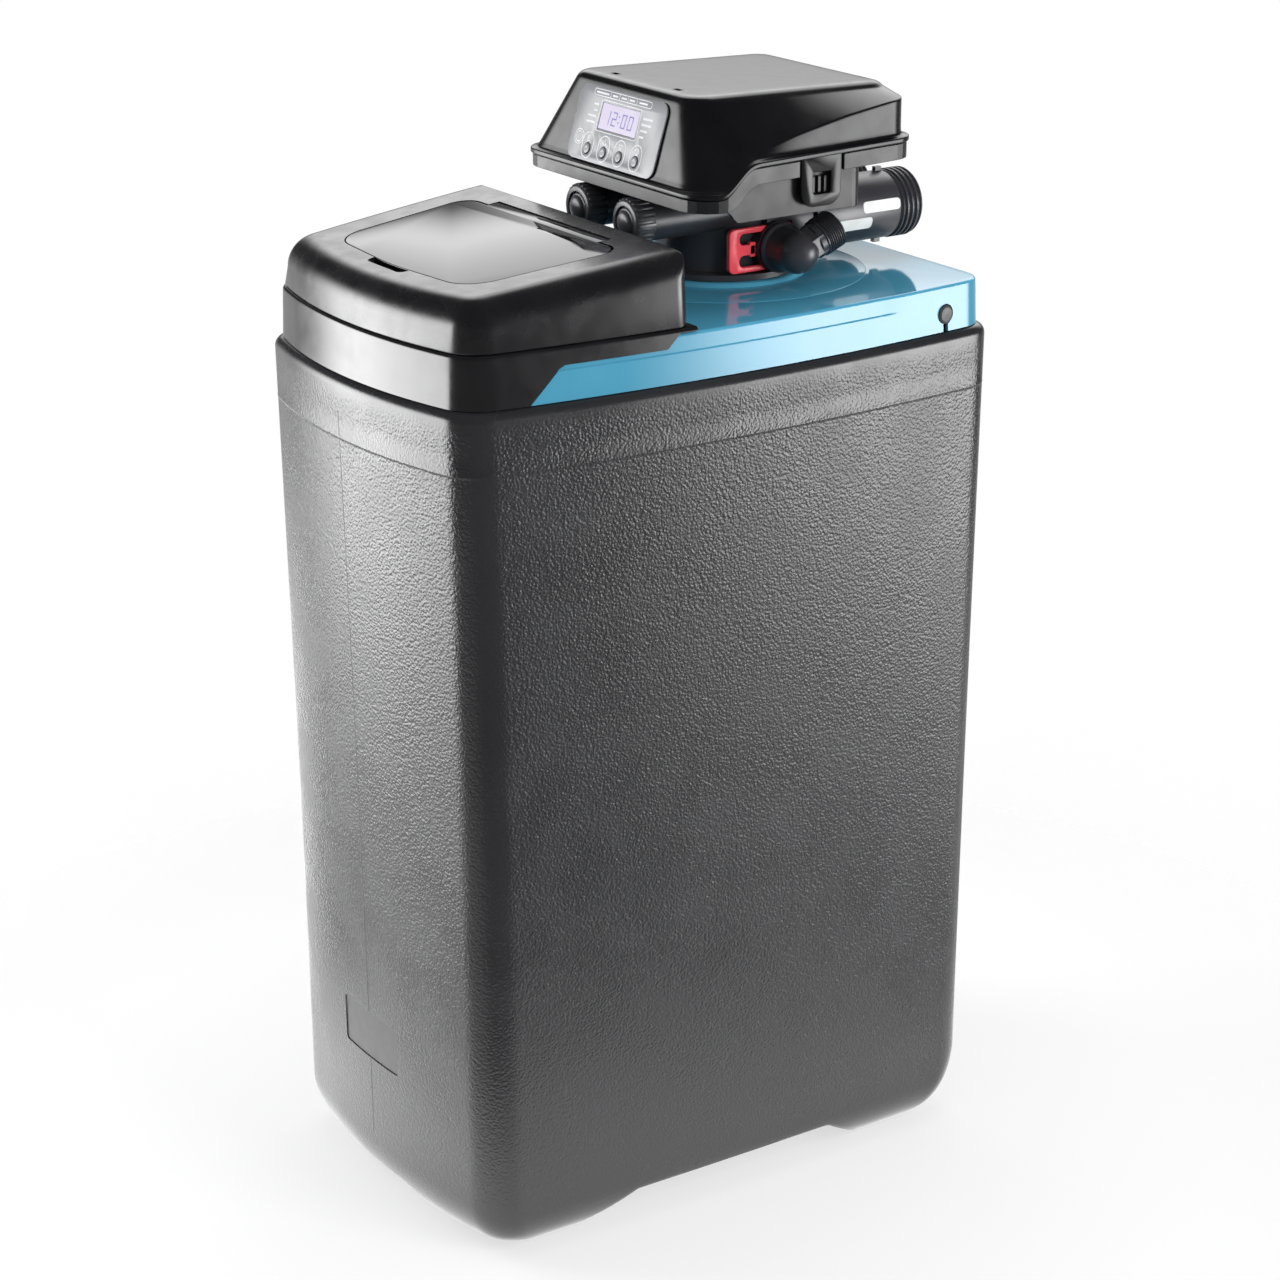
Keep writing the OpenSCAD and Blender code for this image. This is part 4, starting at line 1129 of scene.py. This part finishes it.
@dataclass
class Keypad:
    """Grey membrane with printed signs, a window and holes for its four buttons."""

    pitch: float = 21.8
    row: float = -47.8
    thick: float = 1.4
    print_z: float = 1.43
    digit_z: float = 1.13
    digit: Flat = (6.2, 11.0)
    digit_low: float = -27.0

    def stroke(self, ink: Skin, points: Sequence[Flat], width: float, closed: bool = True) -> None:
        """Draws a printed line on the membrane.

        Args:
            ink: Where it is added.
            points: The line.
            width: Its width.
            closed: Whether it returns to its start.
        """
        count = len(points)
        verts = []
        for i, p in enumerate(points):
            before = Vector(points[i - 1] if closed or i else p)
            after = Vector(points[(i + 1) % count] if closed or i < count - 1 else p)
            along = (after - before).normalized()
            across = Vector((-along.y, along.x)) * width / 2
            verts += [(*(Vector(p) + side), self.print_z) for side in (across, -across)]
        faces = [[2 * i, 2 * i + 1, (2 * i + 3) % (2 * count), (2 * i + 2) % (2 * count)]
                 for i in range(count if closed else count - 1)]
        ink.add(verts, faces, ON_PANEL)

    def bar(self, ink: Skin, low: Flat, size: Flat, z: float, slant: float = 0.0) -> None:
        """Adds a filled bar, such as one that stands for a line of words.

        Args:
            ink: Where it is added.
            low: Its lower left corner.
            size: Its width and height.
            z: Its height over the keypad's plane.
            slant: How far it leans for each millimetre over the middle of the digits.
        """
        middle = self.digit_low + self.digit[1] / 2
        spots = [(low[0] + i * size[0], low[1] + j * size[1]) for i, j in ((0, 0), (1, 0), (1, 1), (0, 1))]
        ink.add([(x + (y - middle) * slant, y, z) for x, y in spots], [[0, 1, 2, 3]], ON_PANEL)

    def circle(self, x: float, y: float, radius: float) -> list[Flat]:
        """Points of a circle."""
        return [(px, py) for px, py, _ in arc((x, y), radius, 0, 2 * math.pi, 28)[:-1]]

    def build_print(self) -> Object:
        """Makes all that is printed on the membrane.

        Returns:
            The piece.
        """
        ink = Skin()
        for i in range(4):
            x, y = (i - 1.5) * self.pitch, self.row + 7.6
            self.stroke(ink, round_block((x - 7.4, self.row - 7.2), (x + 7.4, self.row + 12.5), 7.3, 10), 0.8)
            if i == 0:
                self.stroke(ink, [(x - 1.4, y + 2.2), (x - 1.4, y - 1.6), (x + 1.6, y - 1.6)], 0.9, False)
            elif i == 3:
                self.stroke(ink, self.circle(x, y, 2.4), 0.8)
            else:
                tip = 2.3 if i == 1 else -2.3
                self.stroke(ink, [(x - 2.2, y - tip * 0.7), (x + 2.2, y - tip * 0.7), (x, y + tip)], 0.8)
        for radius in (5.8, 4.0):
            self.stroke(ink, self.circle(-46.4, -40.5, radius), 0.7)
        self.stroke(ink, round_block((-27.2, -33), (27.2, -9.4), 2, 5), 0.6)
        self.stroke(ink, round_block((-40, -7), (38, -2.2), 2.2, 6), 0.6)
        for x in (-17.5, -5.5, 6.0, 18.0):
            self.stroke(ink, [(x, -7), (x, -2.2)], 0.5, False)
        words = [(x, -5.4, wide, 1.4) for x, wide in ((-37, 17), (-15, 7), (-3, 7), (8, 7), (21, 11))]
        words += [(-30.5 - wide, -14.6 - k * 4.6, wide, 1.6) for k, wide in enumerate((6.5, 5.0, 11.0, 11.5))]
        words += [(30.5, -16.0 - k * 4.6, wide, 1.6) for k, wide in enumerate((13.0, 12.0, 9.5, 6.0))]
        for x, y, wide, high in words:
            self.bar(ink, (x, y), (wide, high), self.print_z)
        return ink.build("keypad_print")

    def build_digits(self) -> Object:
        """Makes the time 12:00 on the display.

        Returns:
            The piece.
        """
        ink = Skin()
        (wide, high), thin, gap = self.digit, 1.3, 0.15
        half, right = high / 2, wide - thin
        spots = [(0, high - thin, wide, thin), (right, half, thin, half), (right, 0, thin, half), (0, 0, wide, thin),
                 (0, 0, thin, half), (0, half, thin, half), (0, half - thin / 2, wide, thin)]
        for x, sign in ((-18.5, Segment.ONE), (-9.5, Segment.TWO), (3.3, Segment.ZERO), (12.3, Segment.ZERO)):
            for lit, (dx, dy, w, h) in zip(sign.value, spots):
                if lit:
                    low = (x + dx + gap, self.digit_low + dy + gap)
                    self.bar(ink, low, (w - 2 * gap, h - 2 * gap), self.digit_z, 0.08)
        for y in (-24.2, -19.6):
            self.bar(ink, (-1.1, y), (1.4, 1.4), self.digit_z)
        return ink.build("display_digits")

    def dress(self) -> None:
        """Makes and finishes the membrane, its print and the display's digits."""
        outline = round_block((-59, -57.4), (59, 0), 9, 10)
        plate = Skin().prism(outline, 0, self.thick, ON_PANEL).build("keypad_skin")
        cut = Skin().box((-25.4, -31.2, -1), (25.4, -11, 3), ON_PANEL)
        for i in range(4):
            cut.lathe([(4.6, -1), (4.6, 3)], ON_PANEL @ place((i - 1.5) * self.pitch, self.row, 0), 32)
        carve(plate, cut)
        fit(soften(plate, 0.35, 40, 2), "cover", PANEL, "keypad_grey", "keypad")
        fit(self.build_print(), "cover", INK, "keypad_grey")
        fit(self.build_digits(), "cover", DIGIT, "display_glass")


def rib_ring(name: str, rib: Skin, count: int, radius: float, at: Matrix, finish: Finish) -> Object:
    """Ribs set round a circle with Geometry Nodes, as a plain mesh.

    Args:
        name: Name of the piece.
        rib: One rib, pointing along local X from the circle.
        count: Number of ribs.
        radius: Radius of the circle.
        at: Where the circle goes; its axis is local Z.
        finish: Finish of the ribs.
    Returns:
        The piece.
    """
    tree = bpy.data.node_groups.new(name, "GeometryNodeTree")
    tree.interface.new_socket("Geometry", in_out="OUTPUT", socket_type="NodeSocketGeometry")
    sockets = {label: tree.interface.new_socket(label, in_out="INPUT", socket_type="NodeSocket" + kind).identifier
               for label, kind in (("Count", "Int"), ("Radius", "Float"), ("Rib", "Object"), ("Finish", "Material"))}
    given = add(tree, "NodeGroupInput").node.outputs
    circle = add(tree, "GeometryNodeMeshCircle", {"Vertices": given["Count"], "Radius": given["Radius"]})
    index = add(tree, "GeometryNodeInputIndex")
    share = add(tree, "ShaderNodeMath", {0: index, 1: given["Count"]}, operation="DIVIDE")
    angle = add(tree, "ShaderNodeMath", {0: share, 1: 2 * math.pi}, operation="MULTIPLY")
    turn = add(tree, "ShaderNodeCombineXYZ", {"Z": angle})
    single = add(tree, "GeometryNodeObjectInfo", {"Object": given["Rib"]}, "Geometry")
    spread = add(tree, "GeometryNodeInstanceOnPoints", {"Points": circle, "Instance": single, "Rotation": turn})
    real = add(tree, "GeometryNodeRealizeInstances", {0: spread})
    painted = add(tree, "GeometryNodeSetMaterial", {"Geometry": real, "Material": given["Finish"]})
    add(tree, "NodeGroupOutput", {0: painted})
    source = rib.build(name + "_one")
    piece = Skin().add([(0, 0, 0)], []).build(name)
    change = piece.modifiers.new("ribs", "NODES")
    change.node_group = tree
    for label, value in (("Count", count), ("Radius", radius * MM), ("Rib", source), ("Finish", finish.build())):
        change[sockets[label]] = value
    bake(piece)
    bpy.data.objects.remove(source)
    scaled = at.copy()
    scaled.translation = at.translation * MM
    piece.data.transform(scaled)
    return piece


@dataclass
class FrontCaps:
    """Two knurled screw rings with domed plugs on the front barrels."""

    half_spacing: float = 33.0
    height: float = 771.3
    ribs: int = 24

    def build(self, name: str, x: float) -> tuple[Object, Object]:
        """Makes one ring and its plug.

        Args:
            name: Left or right.
            x: Place of its axis.
        Returns:
            Ring and plug.
        """
        at = place(x, 0, self.height, Axis.FRONT)
        profile = [(16.4, 3.0), (17.3, 3.0), (17.6, 3.4), (17.6, 17.6), (17.2, 18.8), (16.2, 19.7), (15.0, 20.0),
                   (12.6, 20.0), (12.2, 19.6), (12.0, 17.0), (16.4, 17.0), (16.4, 3.0)]
        ring = Skin().lathe(profile, at, 72).build(f"{name}_cap_ring", 40)
        rib = Skin().loft([[(-0.6, -1.5 * s, z), (0.8 * s, -1.2 * s, z), (0.8 * s, 1.2 * s, z), (-0.6, 1.5 * s, z)]
                           for s, z in ((0.7, 3.2), (1, 4.0), (1, 16.6), (0.6, 18.2))])
        join(ring, rib_ring(f"{name}_cap_ribs", rib, self.ribs, 17.6, at, VALVE))
        dome = [(11.8, 6), (11.8, 12.2), (15.8, 12.2), (15.8, 16.6), (11.5, 16.6), (11.4, 18.2), (11.0, 19.0),
                (10.2, 19.4), (9.4, 19.5), (9.0, 19.9)]
        dome += [(9.0 * math.cos(q), 20.3 + 2.8 * math.sin(q)) for q in (0.15, 0.4, 0.7, 1.0, 1.3, 1.55)]
        return ring, Skin().lathe(dome, at, 64).build(f"{name}_plug_dome", 40)

    def dress(self) -> None:
        """Finishes both pairs."""
        for name, side in (("left", -1), ("right", 1)):
            ring, plug = self.build(name, side * self.half_spacing)
            fit(ring, f"{name}_ring", VALVE, "valve_black", f"{name}_cap")
            fit(plug, "cabinet", VALVE, "valve_black", f"{name}_plug")


@dataclass
class RearPipes:
    """Inlet and outlet pipes with threaded ends, two blank labels and the meter's axle."""

    half_spacing: float = 33.0
    height: float = 757.5
    radius: float = 26.5
    bore: float = 20.0
    end: float = 244.0

    def build(self, name: str, x: float) -> Object:
        """Makes one pipe.

        Args:
            name: Inlet or outlet.
            x: Place of its axis.
        Returns:
            The piece.
        """
        at = place(x, 0, self.height, Axis.REAR)
        r, e = self.radius, self.end
        profile = [(self.bore, 141), (r, 141), (r, e - 23), (r - 0.3, e - 22.4), (r - 1.2, e - 22),
                   (r - 1.2, e - 0.6), (r - 1.8, e), (self.bore + 0.6, e), (self.bore, e - 0.6), (self.bore, 141)]
        tube = Skin().lathe(profile, at, 96)
        tube.loft(screw_thread(r + 0.6, 4.6, 1.8, 21.6, 96), at @ place(0, 0, e - 22), ends=False)
        for z in (-r - 3.5, r - 2.5):
            tube.box((x - 2, 214, self.height + z), (x + 2, 220, self.height + z + 6))
        if x > 0:
            tube.box((x - 21, 190, self.height - 2), (x + 21, 193, self.height + 2))
            tube.lathe([(1.5, 191), (1.5, 214)], at, 24)
        return tube.build(f"{name}_pipe_skin", 35)

    def label(self, name: str, y0: float, y1: float, low: float, high: float) -> Object:
        """Makes a blank label that follows the outlet pipe.

        Args:
            name: Name of the piece.
            y0: Its front edge.
            y1: Its rear edge.
            low: Its lower edge, along the pipe's round from its outermost line.
            high: Its upper edge.
        Returns:
            The piece.
        """
        r = self.radius + 0.12
        flat = round_block((y0, low), (y1, high), 3.0, 5, 6)
        verts = [(self.half_spacing + r * math.cos(a / r), y, self.height + r * math.sin(a / r)) for y, a in flat]
        mid = (low + high) / 2 / r
        verts.append((self.half_spacing + r * math.cos(mid), (y0 + y1) / 2, self.height + r * math.sin(mid)))
        count = len(flat)
        return Skin().add(verts, [[i, (i + 1) % count, count] for i in range(count)]).build(name)

    def dress(self) -> None:
        """Finishes the pipes and labels."""
        for name, side in (("inlet", -1), ("outlet", 1)):
            fit(self.build(name, side * self.half_spacing), "cabinet", VALVE, "valve_black", f"{name}_pipe")
        fit(self.label("rear_label", 185, 221, 0.5, 9.5), "cabinet", LABEL, "white_plastic")
        fit(self.label("front_label", 160, 194, -12.5, -2.8), "cabinet", LABEL, "white_plastic")


@dataclass
class Drain:
    """Swivelling drain elbow with its red clip."""

    y: float = 103.5
    z: float = 742.8
    bend: float = 84.0
    lean: float = -66.0
    thread: float = 15.2
    knuckle: float = 16.4
    clip_x: float = 55.5

    def build_elbow(self) -> Object:
        """Makes the elbow.

        Returns:
            The piece.
        """
        spigot = [(9, 0), (14.7, 0), (14.7, 1.5), (11.8, 1.5), (11.8, 4.9), (14.7, 4.9), (14.7, 7.6), (12.1, 7.6),
                  (12.1, 13.4), (14.7, 13.4), (14.7, 17.3), (18.9, 17.3), (19.5, 17.9), (19.5, 19.2), (19.1, 19.9),
                  (18.3, 20.5), (17.1, 20.8), (self.knuckle, 21.8), (self.knuckle, 39), (9, 39), (9, 0)]
        elbow = Skin().lathe(spigot, place(45, self.y, self.z, Axis.X), 64)
        turns = [math.radians(-89.5 + 179 * i / 24) for i in range(25)]
        knuckle = [(self.knuckle * math.cos(q), self.knuckle * math.sin(q)) for q in turns]
        elbow.lathe(knuckle, place(self.bend, self.y, self.z, Axis.X), 48)
        leg = place(self.bend, self.y, self.z, Matrix.Rotation(math.radians(self.lean), 4, "X"))
        corners = [math.radians(30 + 60 * i) for i in range(6)]
        hexagon = round_path([(14.6 * math.cos(q), 14.6 * math.sin(q)) for q in corners], [1.0] * 6, 4)
        elbow.loft([[(x * s, y * s, z) for x, y in hexagon] for s, z in ((1, 5), (1, 19.4), (0.95, 20.4))], leg)
        elbow.lathe([(9, 15), (13.9, 15), (13.9, 20), (14.9, 20.2), (14.9, 21.4), (13.9, 21.8), (13.9, 36.9),
                     (13.3, 37.5), (9.5, 37.5), (9, 37), (9, 15)], leg, 64)
        elbow.loft(screw_thread(self.thread, 1.9, 1.3, 15.6, 72), leg @ place(0, 0, 21.6), ends=False)
        return elbow.build("drain_elbow_skin", 35)

    def build_clip(self) -> Object:
        """Makes the clip.

        Returns:
            The piece.
        """
        x, y, z = self.clip_x, self.y, self.z
        outer = round_block((y - 44.5, z - 17.2), (y + 13, z + 17.2), [5, 1, 1, 5])
        clip = Skin().side(outer, 2.3, x).build("drain_clip_skin")
        cuts = [round_block((y - 35, z + low), (y + 30, z + low + 9), [4.3, 1, 1, 4.3]) for low in (-13.0, 4.0)]
        cuts.append([(y - 20.3, z - 13), (y + 30, z - 13), (y + 30, z + 13), (y - 20.3, z + 13)])
        for cut in cuts:
            carve(clip, Skin().side(cut, 5, x))
        ends = [(y - 25.4, z - 5.6), (y - 20.3, z - 5.6), (y - 20.3, z + 5.6), (y - 25.4, z + 5.6)]
        bar = Skin().side(ends, 2.3, x).build("clip_bar")
        return join(soften(clip, 0.8, 35, 3), soften(bar, 0.7, 35, 3))

    def dress(self) -> None:
        """Finishes both."""
        fit(self.build_elbow(), "elbow", VALVE, "valve_black", "drain_elbow")
        fit(self.build_clip(), "clip", CLIP, "clip_red", "drain_clip")


# Finish, record slot and names of the CAD nodes whose own shape is shown
CARRIED: tuple[tuple[Finish, str, str], ...] = (
    (BUNG, "rubber_black", "overflow_plug"),
    (STEEL, "steel", "flap_pin head_screws drive_motor"),
    (VALVE, "valve_black", "valve_body brine_fitting"),
    (BASE, "valve_black", "head_base"),
    (NYLON, "gear_white", "meter_turbine motor_pinion drive_gear"),
    (RUBBER, "rubber_black", "drain_seal neck_seal tank_foot float_stops"),
    (GLASS, "display_glass", "display"),
    (BUTTON, "button_grey", "time_button up_button down_button regen_button"),
    (BOARD, "board_green", "circuit_board"),
    (CERAMIC, "ceramic", "moving_disc fixed_disc"),
    (TANK, "tank_blue", "resin_tank"),
    (RESIN, "resin", "resin_bed"),
    (PIPE_WHITE, "white_plastic", "riser_tube lower_strainer upper_strainer brine_well brine_rod air_check"),
    (SATIN, "frame_black", "brine_well_cap"),
    (FLOAT, "float_orange", "brine_float"),
)


def carry(nodes: dict[str, Object]) -> None:
    """Gives the CAD nodes that are shown as they are their finish.

    Args:
        nodes: CAD nodes by name.
    """
    for finish, slot, names in CARRIED:
        for name in names.split():
            nodes[name].data.materials.clear()
            nodes[name].data.materials.append(finish.build())


class Panel(Enum):
    """Bright panels that the gloss shows: bearing and elevation, from dark over full to dark, and level."""

    LEFT_FRONT = (((-165, -141, -106, -100), (-23.5, -15, 8, 24)), 10.2)
    LEFT_REAR = (((96, 120, 160, 178), (6, 22, 48, 62)), 2.7)
    RIGHT_REAR = (((23, 41, 52, 68), (-20, -13, 2, 16)), 10.8)
    RIGHT_FLOOR = (((18, 42, 90, 110), (-80, -60, -22, -14)), 0.9)
    FRONT_FLOOR = (((-164, -142, -70, -40), (-80, -60, -26, -20)), 0.8)
    LEFT_WALL = (((150, 172, 181, 182), (-80, -60, -22, -14)), 2.3)
    LEFT_WALL_END = (((-182, -181, -178, -171), (-80, -60, -22, -14)), 2.3)


@dataclass
class Studio:
    """White studio: camera at the photograph's view, soft lamps, pale floor and white ground."""

    eye: Point = (1984.5, -1298.1, 1281.5)
    target: Point = (0.04, 14.89, 422.9)
    roll: float = -0.15
    lens: float = 89.06
    ambient: float = 0.55
    ceiling: float = 0.06
    floor_glow: float = 0.65
    room_r: float = 5000.0
    room_z: float = 500.0

    def camera(self) -> None:
        """Sets the camera."""
        data = bpy.data.cameras.new("camera")
        data.lens, data.sensor_width = self.lens, 36.0
        data.clip_start, data.clip_end = 0.05, 60
        camera = bpy.data.objects.new("camera", data)
        bpy.context.scene.collection.objects.link(camera)
        back = (Vector(self.eye) - Vector(self.target)).normalized()
        right = (-back).cross(Vector((0, 0, 1))).normalized()
        up = back.cross(right)
        r = math.radians(self.roll)
        axes = (math.cos(r) * right + math.sin(r) * up, math.cos(r) * up - math.sin(r) * right, back)
        camera.matrix_world = Matrix.Translation(Vector(self.eye) * MM) @ Matrix(axes).transposed().to_4x4()
        bpy.context.scene.camera = camera

    def lamp(self, name: str, at: Point, size: Flat, power: float) -> None:
        """Adds a softbox that looks at the object, and that the gloss doesn't show.

        Args:
            name: Its name.
            at: Its place, in millimetres.
            size: Its width and height.
            power: Its power in watts.
        """
        data = bpy.data.lights.new(name, "AREA")
        data.shape, data.size, data.size_y, data.energy = "RECTANGLE", size[0] * MM, size[1] * MM, power
        lamp = bpy.data.objects.new(name, data)
        lamp.visible_camera = lamp.visible_glossy = False
        lamp.location = Vector(at) * MM
        lamp.rotation_euler = (Vector((0, 0, 0.45)) - lamp.location).to_track_quat("-Z", "Y").to_euler()
        bpy.context.scene.collection.objects.link(lamp)

    def world(self) -> None:
        """White ground for the camera and for reflections, softer light on the object."""
        world = bpy.data.worlds.new("studio")
        bpy.context.scene.world = world
        world.use_nodes = True
        tree = world.node_tree
        tree.nodes.clear()
        path = add(tree, "ShaderNodeLightPath").node.outputs
        seen = add(tree, "ShaderNodeMath", {0: path["Is Camera Ray"], 1: path["Is Glossy Ray"]}, operation="MAXIMUM")
        seen = add(tree, "ShaderNodeMath", {0: seen, 1: path["Is Transmission Ray"]}, operation="MAXIMUM")
        level_of = add(tree, "ShaderNodeMapRange", {0: seen, 3: self.ambient, 4: 1.0})
        lit = add(tree, "ShaderNodeBackground", {"Color": (1, 1, 1, 1), "Strength": level_of})
        add(tree, "ShaderNodeOutputWorld", {"Surface": lit})

    def floor(self) -> None:
        """Adds the pale floor, which fades into the white ground."""
        floor = Skin().lathe([(1500, -6.0), (1500, -0.2), (0.1, -0.2)], Matrix(), 96).build("floor")
        paper = Finish("white_paper_sweep", "#F4F4F4", "#F0F0F0", rough=0.8, depth=0.01, grain=3, patch=600).build()
        tree = paper.node_tree
        at = add(tree, "ShaderNodeTexCoord", out="Object")
        away = add(tree, "ShaderNodeVectorMath", {0: at}, "Value", operation="LENGTH")
        fade = add(tree, "ShaderNodeMapRange", {0: away, 1: 0.45, 2: 1.1, 3: 0.0, 4: 1.0},
                   interpolation_type="SMOOTHSTEP")
        output = tree.nodes["Material Output"]
        shader = output.inputs[0].links[0].from_socket
        seen = add(tree, "ShaderNodeLightPath", out="Is Camera Ray")
        bright = add(tree, "ShaderNodeMath", {0: seen, 1: self.floor_glow}, operation="MULTIPLY")
        shader = add(tree, "ShaderNodeMixShader", {0: bright, 1: shader, 2: add(tree, "ShaderNodeEmission")})
        clear = add(tree, "ShaderNodeBsdfTransparent")
        mixed = add(tree, "ShaderNodeMixShader", {0: fade, 1: shader, 2: clear})
        near = add(tree, "ShaderNodeMapRange", {0: away, 1: 0.25, 2: 0.6, 3: 1.0, 4: 0.0},
                   interpolation_type="SMOOTHSTEP")
        depth = add(tree, "ShaderNodeSeparateXYZ", {0: at}, "Y")
        level_of = add(tree, "ShaderNodeMapRange", {0: depth, 1: -0.2, 2: -0.36, 3: 1.8, 4: 3.0})
        glow = add(tree, "ShaderNodeEmission", {"Strength": level_of})
        glow = add(tree, "ShaderNodeMixShader", {0: near, 1: clear, 2: glow})
        mirrored = add(tree, "ShaderNodeLightPath", out="Is Glossy Ray")
        mixed = add(tree, "ShaderNodeMixShader", {0: mirrored, 1: mixed, 2: glow})
        tree.links.new(mixed, output.inputs[0])
        floor.data.materials.append(paper)

    def room(self) -> None:
        """Adds the room that the gloss shows: dark ceiling, pale floor and bright panels."""
        turns = [math.radians(-89.5 + 179 * i / 32) for i in range(33)]
        dome = [(self.room_r * math.cos(q), self.room_z + self.room_r * math.sin(q)) for q in turns]
        room = Skin().lathe(dome, Matrix(), 64).build("studio_room")
        material = bpy.data.materials.new("studio_room_walls")
        material.use_nodes = True
        material.cycles.emission_sampling = "NONE"
        tree = material.node_tree
        tree.nodes.clear()
        at = add(tree, "ShaderNodeTexCoord", out="Object")
        middle = (0, 0, self.room_z * MM)
        way = add(tree, "ShaderNodeVectorMath", {0: at, 1: middle}, operation="SUBTRACT")
        x, y, z = add(tree, "ShaderNodeSeparateXYZ", {0: way}).node.outputs
        flat = add(tree, "ShaderNodeCombineXYZ", {0: x, 1: y})
        flat = add(tree, "ShaderNodeVectorMath", {0: flat}, "Value", operation="LENGTH")
        turn = add(tree, "ShaderNodeMath", {0: y, 1: x}, operation="ARCTAN2")
        rise = add(tree, "ShaderNodeMath", {0: z, 1: flat}, operation="ARCTAN2")
        pale = add(tree, "ShaderNodeMapRange", {0: x, 1: 1.0, 2: -3.0, 3: 0.2, 4: 0.75},
                   interpolation_type="SMOOTHSTEP")
        edges = {1: math.radians(-8), 2: math.radians(10), 3: pale, 4: self.ceiling}
        total = add(tree, "ShaderNodeMapRange", {0: rise} | edges, interpolation_type="SMOOTHSTEP")
        for panel in Panel:
            spans, level_of = panel.value
            share: Value = 1.0
            for value, (start, full, end, out) in zip((turn, rise), spans):
                for low, high, to_low, to_high in ((start, full, 0.0, 1.0), (end, out, 1.0, 0.0)):
                    edges = {1: math.radians(low), 2: math.radians(high), 3: to_low, 4: to_high}
                    edge = add(tree, "ShaderNodeMapRange", {0: value} | edges, interpolation_type="SMOOTHSTEP")
                    share = add(tree, "ShaderNodeMath", {0: share, 1: edge}, operation="MULTIPLY")
            total = add(tree, "ShaderNodeMath", {0: share, 1: level_of, 2: total}, operation="MULTIPLY_ADD")
        add(tree, "ShaderNodeOutputMaterial", {"Surface": add(tree, "ShaderNodeEmission", {"Strength": total})})
        room.data.materials.append(material)
        room.visible_camera = room.visible_diffuse = room.visible_shadow = False

    def build(self) -> None:
        """Sets up the studio."""
        self.camera()
        self.world()
        self.floor()
        self.room()
        self.lamp("left_softbox", (-1500, -1500, 1500), (1100, 1500), 36)
        self.lamp("right_softbox", (2000, 500, 1200), (900, 1300), 32)
        self.lamp("overhead_softbox", (-200, 300, 2600), (1600, 1600), 18)
        bpy.context.scene.view_settings.view_transform = "Standard"


def main() -> None:
    """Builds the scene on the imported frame."""
    logging.basicConfig(level=logging.INFO, format="%(message)s")
    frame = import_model()
    carry(frame["nodes"])
    for assembly in (Cabinet(), Top(), Lid(), Head(), Keypad(), FrontCaps(), RearPipes(), Drain()):
        LOG.info("building %s", type(assembly).__name__)
        assembly.dress()
    Studio().build()


if __name__ == "__main__":
    main()
